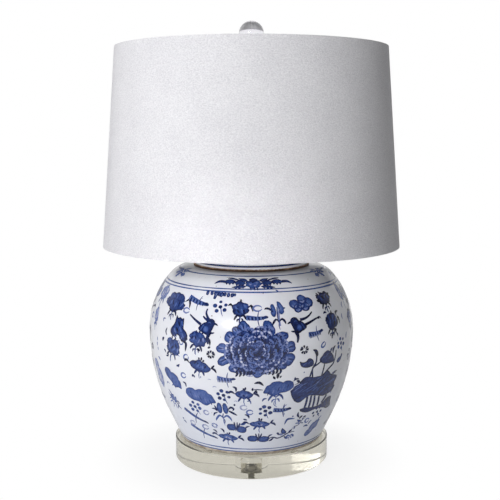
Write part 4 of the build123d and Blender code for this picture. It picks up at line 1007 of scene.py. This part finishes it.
# Single commas of the brush between the motifs: (azimuth, height, turn, length, bend, thick, ink).
COMMAS = (
    (-51.5, 191, 98, 11, 2.5, 2.2, 0.86), (-54.6, 178, 60, 7, 1.5, 4.0, 0.84),
    (-38, 176, -50, 17, 6.0, 3.4, 0.94), (-36.2, 186, 10, 6, 0, 3.2, 0.92),
    (-28.2, 173, -35, 6, 0, 3.0, 0.94), (-22.2, 178, 30, 5, 0, 2.6, 0.9),
    (-39.5, 116, -48, 9, 2.5, 2.4, 0.84), (-51.3, 157, 35, 9, -2.5, 2.4, 0.86),
    (-53.5, 161, -40, 6, 1.0, 2.4, 0.8), (-43.3, 156, 40, 13, 4.5, 1.2, 0.42),
    (-43.2, 142, 0, 5, 1.5, 2.6, 0.8), (-42.0, 144, 70, 5, 1.0, 2.2, 0.78), (-32.9, 133, 60, 5, 0, 2.4, 0.84),
    (-32.0, 132, -60, 4, 0, 2.2, 0.84), (-27.9, 132, 80, 3, 0, 1.6, 0.3), (-22.8, 130, 0, 5, 0.5, 1.0, 0.22),
    (-20.1, 119, 10, 6, 1.0, 1.2, 0.24), (-61.9, 175, 90, 6, 0, 1.8, 0.5), (-62.2, 167, 80, 6, 1, 2.0, 0.56),
    (-61.6, 160, 100, 5, 0, 2.0, 0.52), (-66.2, 194, 80, 6, 1, 1.8, 0.4),
    (-66.4, 234, -60, 8, 2.5, 2.2, 0.44), (-61.1, 145, -30, 8, 1, 2.6, 0.52),
    (-55, 109, 20, 7, 2.5, 1.4, 0.36), (-49.4, 107, -10, 10, 3, 1.4, 0.52),
    (-54.7, 90, -62, 19, 1.5, 2.2, 0.56), (-56.5, 86, -62, 16, 1, 1.4, 0.4), (-49.7, 70, 20, 9, 4, 1.6, 0.6),
    (-49.4, 46, -35, 7, 1, 2.2, 0.62), (-50, 52, 80, 4, 0, 2.2, 0.6), (-19, 44, -55, 9, 1.5, 2.5, 0.84),
    (-24.4, 41, -38, 8, 1.5, 2.2, 0.84), (-9, 118, -52, 9, 2.5, 2.8, 0.9), (-9.5, 92, 0, 3, 0, 2.8, 0.88),
    (-1.2, 97, -30, 7, 2.5, 1.8, 0.56), (-2.5, 73, -40, 9, 2, 2.8, 0.86), (-3.7, 67, -15, 6, 0, 2.4, 0.84),
    (-5, 59, 25, 9, 0, 3.6, 0.66), (-8.6, 98, 0, 5, 1, 1.0, 0.24), (19.7, 88, 60, 6, 1.5, 1.0, 0.5),
    (19.2, 74, -85, 6, 1, 1.0, 0.5), (23.8, 60, 38, 17, 5.0, 2.9, 0.62), (25.7, 68, 0, 2.6, 0, 2.4, 0.7),
    (29.6, 69, -75, 11, -1.5, 2.8, 0.84), (31.7, 64, 50, 7, 0.5, 2.6, 0.86), (34.6, 64, 10, 5, 0, 2.6, 0.84),
    (30.5, 52, -10, 8, 2, 1.6, 0.5), (40.8, 50, 60, 9, 1, 1.8, 0.62), (38.1, 44, 0, 9, 1.5, 2.6, 0.66),
    (50, 52, 55, 10, 1, 2.0, 0.5), (54, 100, 60, 14, 1, 3.0, 0.46), (54.9, 217, 60, 9, 3.5, 3.2, 0.95),
    (53.9, 204, 80, 8, 1.5, 3.6, 0.93), (49, 187, 50, 13, 2, 3.4, 0.93), (51, 193, 10, 7, 1, 3.4, 0.92),
    (52.5, 186, -55, 8, 1, 2.2, 0.84), (49.8, 165, 70, 12, 2, 3.4, 0.9), (47.4, 165, 60, 9, 1, 3.0, 0.8),
    (24.5, 129, 20, 9, 1.5, 2.2, 0.84), (25.8, 126, -30, 7, 0.5, 3.2, 0.93), (23.6, 131, 80, 5, 0, 2.0, 0.86),
    (12, 135, -52, 6, 0, 2.8, 0.95), (13.9, 138, 84, 9, 0, 3.6, 0.97), (15.4, 136, 50, 4, 0, 2.0, 0.93),
    (4, 126, -10, 14, 2.5, 3.2, 0.95), (3.2, 117, 0, 16, 0.5, 1.4, 0.84), (2.6, 114, -60, 5, 0, 2.8, 0.92),
    (0.6, 118, 80, 5, 0, 2.4, 0.9), (7.1, 101, 40, 8, 1.5, 2.2, 0.66), (13.4, 93, -72, 11, -2, 1.0, 0.5),
    (16, 262, -40, 5, 0, 1.8, 0.55), (28.9, 139, 0, 1.8, 0, 1.8, 0.6), (-44, 188, -15, 6, -3, 1.1, 0.34),
    (-40, 187, -15, 6, -3, 1.1, 0.34), (-55.2, 207, 60, 7, 3, 1.8, 0.6), (44.5, 221, 10, 7, 1.5, 2.6, 0.9),
    (63, 180, 80, 10, 1, 2.4, 0.5), (60, 210, 85, 9, 1, 2.0, 0.45), (64, 226, 70, 10, 2, 2.0, 0.4),
)

# The sides between the two painted faces: drawn once, at both sides of the jar.
SIDES = [
    spot("flower", 77, 241, 8, wide=30, tall=20, ink=0.62), spot("bird", 93, 212, ink=0.84),
    spot("cloud", 99, 243, -6, ink=0.6), spot("bell", 79, 172, ink=0.62),
    spot("flower", 98, 178, 10, wide=30, tall=22, ink=0.66), spot("bar", 86, 150, -8, length=32, ink=0.56),
    spot("pad", 80, 120, 20, ink=0.5, size=0.9), spot("flower", 99, 130, wide=26, tall=18, ink=0.6),
    spot("star", 88.5, 173, ink=0.86), spot("dots", 71, 146, ink=0.72), spot("ring", 107, 206),
    spot("boat", 92, 92, wide=30, tall=12, ink=0.56), spot("dots", 76, 92, petals=6, ink=0.7),
    spot("iris", 85, 62, ink=0.52), spot("pair", 98, 54, 6, ink=0.54), spot("sprig", 71, 40, ink=0.5),
    spot("boat", 88, 30, wide=28, tall=9, ink=0.5), spot("ring", 83, 106),
    spot("bar", 106, 76, length=28, ink=0.54), spot("ring", 84, 222, scallops=9),
    spot("star", 108, 158, ink=0.8, reach=6), spot("curls", 88, 132, ink=0.7), spot("curls", 71, 74, ink=0.5),
    spot("dashes", 92, 257, ink=0.6),
]

# Lines round the jar: (height, width, ink). Round the lid, in metres: (name, height over mouth, width, ink).
LINES = ((4.8, 1.8, 0.50), (9.8, 1.8, 0.50), (260.2, 2.2, 0.56), (265.2, 1.9, 0.62), (290.6, 2.8, 0.60))
LID_LINES = (("lid_line", 0.0042, 0.0030, 0.84), ("lid_line_high", 0.0190, 0.0016, 0.5))
LID_LINE_LIFT = 0.0001
FACES = (("front", 1, 11), ("back", -1, 47))     # name, side, first seed
COMMA_SEED, LINE_SEED, SIDE_SEED = 9, 5, 83


def draw(painting, motifs):
    """Paints some motifs, each at its own spot."""
    for name, azimuth, height, turn, settings in motifs:
        settings = dict(settings)
        painting.at(azimuth, height, turn, settings.pop("size", 1.0), settings.pop("flip", 1))
        MOTIFS[name](painting, **settings)


def paint_jar(material):
    """Both faces, the two sides between them and the lines round the jar."""
    for face, side, seed in FACES:
        for number, (group, motifs) in enumerate(FRONT.items()):
            painting = Painting(f"painting_{group}_{face}", side, seed + number)
            draw(painting, motifs)
            painting.finish(material)
        painting = Painting(f"painting_commas_{face}", side, seed + COMMA_SEED)
        for azimuth, height, turn, length, bend, thick, ink in COMMAS:
            painting.at(azimuth, height, turn)
            leaf(painting, (-length / 2, 0), (0, bend), (length / 2, -bend / 2), thick=thick, ink=ink)
        painting.finish(material)
    for name, turned in (("right", 0), ("left", 180)):
        painting = Painting(f"painting_side_{name}", 1, SIDE_SEED + turned)
        draw(painting, [(m, a + turned, h, t, s) for m, a, h, t, s in SIDES])
        painting.finish(material)
    rings = Painting("painting_lines", 1, LINE_SEED)
    for height, width, ink in LINES:
        rings.at(0, height)
        turns = np.linspace(-math.pi, math.pi, 241)
        uneven = [1 + 0.16 * math.sin(5 * t + height) + 0.1 * math.sin(13 * t) for t in turns]
        radius = np.interp(height, UP, SIDE[:, 0])
        path = np.stack([turns * radius, 0.25 * np.sin(3 * turns + height)], axis=-1)
        rings.ribbon(path, width * np.array(uneven), ink, 0)
    rings.finish(material)


# ---------------------------------------------------------------- ceramic
BARE_FOOT = 2.0              # mm up the jar's side that the glaze leaves bare
UPRIGHT = 0.98               # the lid's side is where it is at least this share of its widest


def paint(material, *nodes):
    """Gives CAD nodes their material."""
    for node in nodes:
        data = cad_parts[node].data
        data.materials.clear()
        data.materials.append(material)


def dress_jar():
    """Bare clay on the jar and lid, a glaze skin over each, and the painting."""
    glazed, ink = glaze(), cobalt()
    paint(clay(), "jar", "jar_lid")
    skin = jar_side[next(i for i, up in enumerate(UP) if up > BARE_FOOT):]
    outer = pushed_out(skin, GLAZE_LIFT * MM)
    tucked = pushed_out(skin, -GLAZE_LIFT * MM)
    lathe("jar_glaze", [tucked[0]] + outer + [tucked[-1]], glazed, "stand", ROUND["jar"])
    lid = pushed_out(rounded(outer_side(seam("jar_lid")), OUTLINE_STEP), GLAZE_LIFT * MM)
    lathe("lid_glaze", lid, glazed, "stand", ROUND["lid"])
    paint_jar(ink)
    upright = [p for p in lid if p[0] > UPRIGHT * max(r for r, z in lid)]
    for name, up, height, value in LID_LINES:
        radius = float(np.interp(mouth_top + up, [z for r, z in upright], [r for r, z in upright]))
        made = lathe(name, band(mouth_top + up, radius, height, LID_LINE_LIFT), ink, "stand", ROUND["lid"])
        layer = made.data.attributes.new("ink", "FLOAT", "POINT")
        layer.data.foreach_set("value", [value] * len(made.data.vertices))


# ---------------------------------------------------------------- base disc, shade, finial, socket and bulb
# the disc's body colour: acrylic's faint olive tint, deepened well past it as painted shade for the shadows
# and dark surroundings seen through it
ACRYLIC_SHADED = (0.57, 0.55, 0.475)
ACRYLIC_IOR = 1.49
SATIN = (0.88, 0.85, 0.76)
SATIN_ROUGHNESS = 0.4
BEVEL_TILT = (0.2, 0.9)      # the upright share of a bevel's normal lies between these
CONTACT_GAP = 0.00006        # m between a clear piece and what it touches, so that light finds both faces
# a bumper's outline: share of its radius, share of its height
BUMPER_OUTLINE = ((0.62, 0.0), (0.80, 0.08), (0.93, 0.32), (1.0, 0.70), (1.0, 1.0))
BUMPER_ROUND = 48


def dress_base():
    """The clear disc, its body colour darkened by painted shade, with its bore, its counterbore and satin
    bevels.
    """
    low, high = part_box("base_disc")
    points = seam("base_disc")
    outline = outer_side(points)
    hole = min(r for r, z in points)
    recess = min(r for r, z in points if z < low.z + NEAR)
    recess_top = max(z for r, z in points if z < high.z - NEAR and r < recess + NEAR)
    closed = [(recess, low.z)] + [p for p in outline if p[0] > recess + NEAR]
    closed += [(hole, high.z), (hole, recess_top), (recess, recess_top)]
    # painted shade in the acrylic's darkened body colour
    material = clear("clear_acrylic", ACRYLIC_SHADED, ACRYLIC_IOR)
    disc = lathe("disc_clear", closed, material, "stand", ROUND["disc"], True, ["base_disc"], sharp=20)
    disc.data.materials.append(clear("satin_bevel", SATIN, ACRYLIC_IOR, SATIN_ROUGHNESS))
    for face in disc.data.polygons:
        tilted = BEVEL_TILT[0] < abs(face.normal.z) < BEVEL_TILT[1]
        if tilted and face.center.xy.length > outline[0][0] / 2:
            face.material_index = 1


def dress_soft_feet():
    """Clear domed bumpers under the disc and a clear ring under the jar, a hair short of what they touch."""
    soft = clear("clear_rubber", (0.95, 0.95, 0.93), 1.42, 0.05)
    low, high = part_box("base_pads")
    corners = {}
    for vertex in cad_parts["base_pads"].data.vertices:
        corners.setdefault((vertex.co.x > 0, vertex.co.y > 0), []).append(vertex.co.xy)
    verts, faces, around = [], [], BUMPER_ROUND
    for points in corners.values():
        x0, x1 = min(p.x for p in points), max(p.x for p in points)
        y0, y1 = min(p.y for p in points), max(p.y for p in points)
        rings = []
        for reach, level in BUMPER_OUTLINE:
            z = low.z + CONTACT_GAP + (high.z - low.z - 2 * CONTACT_GAP) * level
            r = (x1 - x0) / 2 * reach
            rings.append(range(len(verts), len(verts) + around))
            verts += [((x0 + x1) / 2 + r * math.cos(2 * math.pi * i / around),
                       (y0 + y1) / 2 + r * math.sin(2 * math.pi * i / around), z) for i in range(around)]
        for under, over in zip(rings, rings[1:]):
            faces += [(under[i], under[(i + 1) % around], over[(i + 1) % around], over[i])
                      for i in range(around)]
        faces += [tuple(reversed(rings[0])), tuple(rings[-1])]
    piece("bumpers_clear", verts, faces, soft, "stand", 50, ["base_pads"])

    points = seam("jar_seat_ring")
    inner, outer = min(r for r, z in points), max(r for r, z in points)
    bottom, top = points[0][1] + CONTACT_GAP, points[-1][1] - CONTACT_GAP
    ring = [(inner, bottom), (outer, bottom), (outer, top), (inner, top)]
    made = lathe("seat_ring_clear", ring, soft, "stand", ROUND["seat_ring"], True, ["jar_seat_ring"])


def shell_ends(node):
    """A shade shell's bottom and top corners, each pair innermost first."""
    points = seam(node)
    levels = min(z for r, z in points), max(z for r, z in points)
    return [sorted(p for p in points if abs(p[1] - level) < TINY) for level in levels]


SHADE_STEP = 0.05            # m between the rings of the shade's shells
SEAM_WIDTH, SEAM_THICKNESS = 0.012, 0.0006     # m


def dress_shade():
    """The crepe cover and its lining sheet as closed shells, and the overlapped seam down the back."""
    weave = cloth()
    paint(weave, "shade_top_binding", "shade_bottom_binding")
    for name, node, material in (("shade_crepe", "shade_cover", weave),
                                 ("shade_lining", "shade_liner", backing())):
        bottom, top = shell_ends(node)
        closed = rounded([bottom[-1], top[-1]], SHADE_STEP) + [top[0], bottom[0]]
        lathe(name, closed, material, "shade", ROUND["shade"], True, [node])
    (r0, z0), (r1, z1) = (corners[-1] for corners in shell_ends("shade_cover"))
    rows, columns = 24, 6
    verts, faces = [], []
    for i in range(rows + 1):
        t = i / rows
        for j in range(columns + 1):
            s = j / columns * 2 - 1
            r = r0 + (r1 - r0) * t + SEAM_THICKNESS * (1 - s**8)
            a = math.pi / 2 + s * SEAM_WIDTH / 2 / r
            verts.append((r * math.cos(a), r * math.sin(a), z0 + (z1 - z0) * t))
    for i in range(rows):
        for j in range(columns):
            k = i * (columns + 1) + j
            faces.append((k, k + columns + 1, k + columns + 2, k + 1))
    piece("shade_seam", verts, faces, weave, "shade")


CRYSTAL = (0.90, 0.89, 0.93)
CRYSTAL_IOR = 1.54
BALL_STEP = 0.0008           # m between the points of its outline


def dress_finial():
    """The crystal ball, closed at both poles."""
    ball = rounded(outer_side(seam("finial_ball")), BALL_STEP)
    heights = [z for r, z in ball]
    outline = [(0, min(heights))] + [p for p in ball if p[0] > TINY] + [(0, max(heights))]
    crystal = clear("crystal", CRYSTAL, CRYSTAL_IOR)
    lathe("crystal_ball", outline, crystal, "finial", ROUND["ball"], False, ["finial_ball"])


CAP_PITCH, CAP_THREAD = INCH / 7, 0.0009     # m: the cap's thread, its pitch and depth
CAP_BELOW, CAP_ABOVE = 0.0015, 0.002         # m: plain rim below the thread and above it
CAP_ROWS = 100


def dress_bulb():
    """The bulb's screw cap gets its rolled thread."""
    low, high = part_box("bulb_screw_cap")
    start, end = low.z + CAP_BELOW, high.z - CAP_ABOVE
    outline = [(high.x - 0.004, low.z), (high.x - 0.0008, low.z + 0.0006)]
    outline += [(high.x - CAP_THREAD, start + (end - start) * i / CAP_ROWS) for i in range(CAP_ROWS + 1)]
    outline += [(high.x, high.z - 0.001), (high.x, high.z), (high.x - 0.0006, high.z)]

    def thread(angle, z):
        if not start <= z <= end:
            return 0
        ease = min(1, (z - start) / CAP_PITCH, (end - z) / CAP_PITCH * 1.5)
        return CAP_THREAD * ease * (0.5 + 0.5 * math.sin(2 * math.pi * z / CAP_PITCH - angle))

    tin = metal("lamp_cap_metal", (0.78, 0.78, 0.79), 0.3)
    made = lathe("bulb_thread", outline, tin, "bulb", ROUND["cap"], False, ["bulb_screw_cap"], sharp=60,
                 wobble=thread)


def dress_hardware():
    """Metal, plastic, glass and fibre on the CAD nodes that keep their own shape."""
    nickel = metal("satin_nickel", (0.70, 0.68, 0.65), 0.24)
    steel = metal("zinc_steel", (0.62, 0.62, 0.63), 0.34)
    brass = metal("brass", (0.76, 0.58, 0.28), 0.26)
    enamel = moulded("white_enamel", (0.84, 0.84, 0.83), 0.35)
    black = moulded("black_plastic", (0.018, 0.018, 0.018), 0.3)
    for material, nodes in (
        (nickel, ("vase_cap", "neck_tube", "harp_saddle", "harp_bow", "harp_ferrule_left",
                  "harp_ferrule_right", "socket_cap", "socket_shell", "finial_base")),
        (steel, ("base_washer", "base_lock_washer", "base_nut", "saddle_nut", "socket_set_screw",
                 "switch_shaft")),
        (threaded("rod_thread", (0.62, 0.62, 0.63), 0.35, INCH / 27), ("lamp_rod",)),
        (threaded("stud_thread", (0.70, 0.68, 0.65), 0.3, INCH / 27), ("harp_stud",)),
        (brass, ("socket_screw_shell", "socket_terminal_screws", "socket_centre_contact", "finial_insert")),
        (enamel, ("shade_top_ring", "shade_bottom_ring", "shade_spider")),
        (black, ("cord_grommet", "switch_knob")),
        (moulded("socket_moulding", (0.035, 0.028, 0.024), 0.55), ("socket_body",)),
        (moulded("black_glass", (0.02, 0.02, 0.022), 0.15), ("bulb_insulator",)),
        (metal("solder", (0.55, 0.55, 0.56), 0.45), ("bulb_tip_contact",)),
        (fibre(), ("socket_liner",)),
        (frosted(), ("bulb_glass",)),
    ):
        paint(material, *nodes)


# ---------------------------------------------------------------- stage, light and camera
SURROUND_STRENGTH = 0.07     # of the even white surround that lights the lamp from all sides
BACKDROP_EDGE = (0.05, 0.55)    # how far back a mirrored ray points where the backdrop starts and is full
BACKDROP_MIRRORED = 0.8      # how much of the white backdrop shows in reflections
FLOOR_MIRRORED = 0.4         # and how much of the white floor
FLOOR_RINGS = (0.1, 0.2, 0.35, 0.6, 1.2, 3.0, 9.0)     # radii in metres
FLOOR_ROUND = 96             # steps round
FLOOR_GREY = 0.86            # the floor that the shadow falls on
BOUNCE_GREY = 0.82           # the floor as light that bounces meets it
SHADOW_REACH = (0.125, 0.26)    # m from the axis where the shadow starts to fade and is gone
SHADOW_SHOWN = 0.16          # share of the real shadow


def shown(tree, mirrored):
    """1 for what the camera sees, also through glass, and a share of 1 for what it sees mirrored."""
    path = add_node(tree, "LightPath").outputs
    seen = add_node(tree, "Math", path["Is Camera Ray"], path["Is Transmission Ray"], operation="MAXIMUM")
    glossy = add_node(tree, "Math", path["Is Glossy Ray"], mirrored, operation="MULTIPLY")
    return add_node(tree, "Math", seen.outputs[0], glossy.outputs[0], operation="MAXIMUM").outputs[0]


def stage_world():
    """White to the camera, through glass and in reflections from behind, and a dim surround for all else."""
    world = bpy.data.worlds.new("surround")
    bpy.context.scene.world = world
    world.use_nodes = True
    tree = world.node_tree
    tree.nodes.clear()
    backwards = add_node(tree, "SeparateXYZ", add_node(tree, "TexCoord").outputs["Generated"]).outputs["Y"]
    behind = add_node(tree, "MapRange", backwards, *BACKDROP_EDGE, 0.0, BACKDROP_MIRRORED,
                      interpolation_type="SMOOTHSTEP").outputs["Result"]
    dim = add_node(tree, "Background", (1, 1, 1, 1), SURROUND_STRENGTH).outputs[0]
    backdrop = add_node(tree, "Background", (1, 1, 1, 1), 1.0).outputs[0]
    both = add_node(tree, "MixShader", shown(tree, behind), dim, backdrop).outputs[0]
    add_node(tree, "OutputWorld", both)


def stage_floor():
    """A white floor that keeps a soft shadow near the lamp and fades into the white round it."""
    around = [2 * math.pi * i / FLOOR_ROUND for i in range(FLOOR_ROUND)]
    verts = [(0, 0, 0)] + [(r * math.cos(a), r * math.sin(a), 0) for r in FLOOR_RINGS for a in around]
    faces = []
    for i in range(FLOOR_ROUND):
        j = (i + 1) % FLOOR_ROUND
        faces.append((0, 1 + i, 1 + j))
        for low in range(1, len(verts) - FLOOR_ROUND, FLOOR_ROUND):
            faces.append((low + i, low + FLOOR_ROUND + i, low + FLOOR_ROUND + j, low + j))
    mesh = bpy.data.meshes.new("floor")
    mesh.from_pydata(verts, [], faces)
    floor = bpy.data.objects.new("floor", mesh)
    bpy.context.scene.collection.objects.link(floor)
    material = bpy.data.materials.new("white_floor")
    material.use_nodes = True
    tree = material.node_tree
    tree.nodes.clear()
    matt = add_node(tree, "BsdfDiffuse", (FLOOR_GREY, FLOOR_GREY, FLOOR_GREY, 1)).outputs[0]
    bounce = add_node(tree, "BsdfDiffuse", (BOUNCE_GREY, BOUNCE_GREY, BOUNCE_GREY, 1)).outputs[0]
    white = add_node(tree, "Emission", (1, 1, 1, 1), 1.0).outputs[0]
    place = add_node(tree, "TexCoord").outputs["Object"]
    reach = add_node(tree, "VectorMath", place, operation="LENGTH").outputs["Value"]
    shadow = add_node(tree, "MapRange", reach, *SHADOW_REACH, SHADOW_SHOWN, 0.0,
                      interpolation_type="SMOOTHSTEP").outputs["Result"]
    blend = add_node(tree, "MixShader", shadow, white, matt).outputs[0]
    both = add_node(tree, "MixShader", shown(tree, FLOOR_MIRRORED), bounce, blend).outputs[0]
    add_node(tree, "OutputMaterial", both)
    mesh.materials.append(material)


# name, azimuth from the camera's side (degrees, + right), elevation, distance (m), size (m), power (W), and
# whether it shows in reflections and through glass
LAMPS = (
    ("key_softbox", -25.0, 17.0, 2.4, 0.80, 5.0, True),
    ("window_glint", -25.0, 15.5, 2.4, 0.34, 5.0, True),
    ("low_window", -24.0, 3.0, 2.4, 1.8, 40.0, False),
    ("left_wall", -88.0, 14.0, 2.2, 1.6, 12.0, False),
    ("back_top", 30.0, 55.0, 2.4, 1.6, 7.0, True),
    ("back_wall", 168.0, 8.0, 2.4, 1.8, 44.0, False),
)
AIM = Vector((0, 0, 0.30))
# a narrow lamp that reaches the lid in under the shade, as in LAMPS
NECK_LIGHT = (-8.0, 3.5, 1.7, 0.20, 0.026)
NECK_SPREAD = math.radians(6.0)


def lamp_at(name, aim, azimuth, elevation, distance, size, power, mirrored):
    """A square soft lamp that looks at a point, from an azimuth and an elevation about it."""
    data = bpy.data.lights.new(name, "AREA")
    data.shape, data.size, data.energy = "SQUARE", size, power
    lamp = bpy.data.objects.new(name, data)
    lamp.visible_glossy = lamp.visible_transmission = mirrored
    a, e = math.radians(azimuth), math.radians(elevation)
    towards = Vector((math.sin(a) * math.cos(e), -math.cos(a) * math.cos(e), math.sin(e)))
    lamp.location = aim + distance * towards
    lamp.rotation_mode = "QUATERNION"
    lamp.rotation_quaternion = (aim - lamp.location).to_track_quat("-Z", "Y")
    bpy.context.scene.collection.objects.link(lamp)
    return data


def light():
    """All the lamps."""
    for name, *place, mirrored in LAMPS:
        lamp_at(name, AIM, *place, mirrored)
    lid = Vector((0, 0, (mouth_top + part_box("shade_cover")[0].z) / 2))
    lamp_at("neck_light", lid, *NECK_LIGHT, False).spread = NECK_SPREAD


CAMERA_DISTANCE = 1.440      # m in front of the lamp's axis
CAMERA_HEIGHT = 0.5076       # m
CAMERA_DIP = 7.08            # degrees below level
SENSOR_WIDTH = 36.0          # mm
CLIPPED = (0.01, 100)        # m from the camera: nearer and further things aren't seen
FOCAL_PIXELS = 928.5
PICTURE_PIXELS = 500
AXIS_PIXEL = 251.4           # column of the lamp's axis in the photograph


def camera():
    """The photograph's view."""
    data = bpy.data.cameras.new("camera")
    data.sensor_width = SENSOR_WIDTH
    data.lens = FOCAL_PIXELS / PICTURE_PIXELS * SENSOR_WIDTH
    data.shift_x = (PICTURE_PIXELS / 2 - AXIS_PIXEL) / PICTURE_PIXELS
    data.clip_start, data.clip_end = CLIPPED
    made = bpy.data.objects.new("camera", data)
    made.location = (0, -CAMERA_DISTANCE, CAMERA_HEIGHT)
    made.rotation_euler = (math.radians(90 - CAMERA_DIP), 0, 0)
    bpy.context.scene.collection.objects.link(made)
    bpy.context.scene.camera = made


# ---------------------------------------------------------------- make it all
camera()
dress_jar()
dress_base()
dress_soft_feet()
dress_shade()
dress_finial()
dress_bulb()
dress_hardware()
stage_world()
stage_floor()
light()
bpy.context.scene.view_settings.view_transform = "Standard"
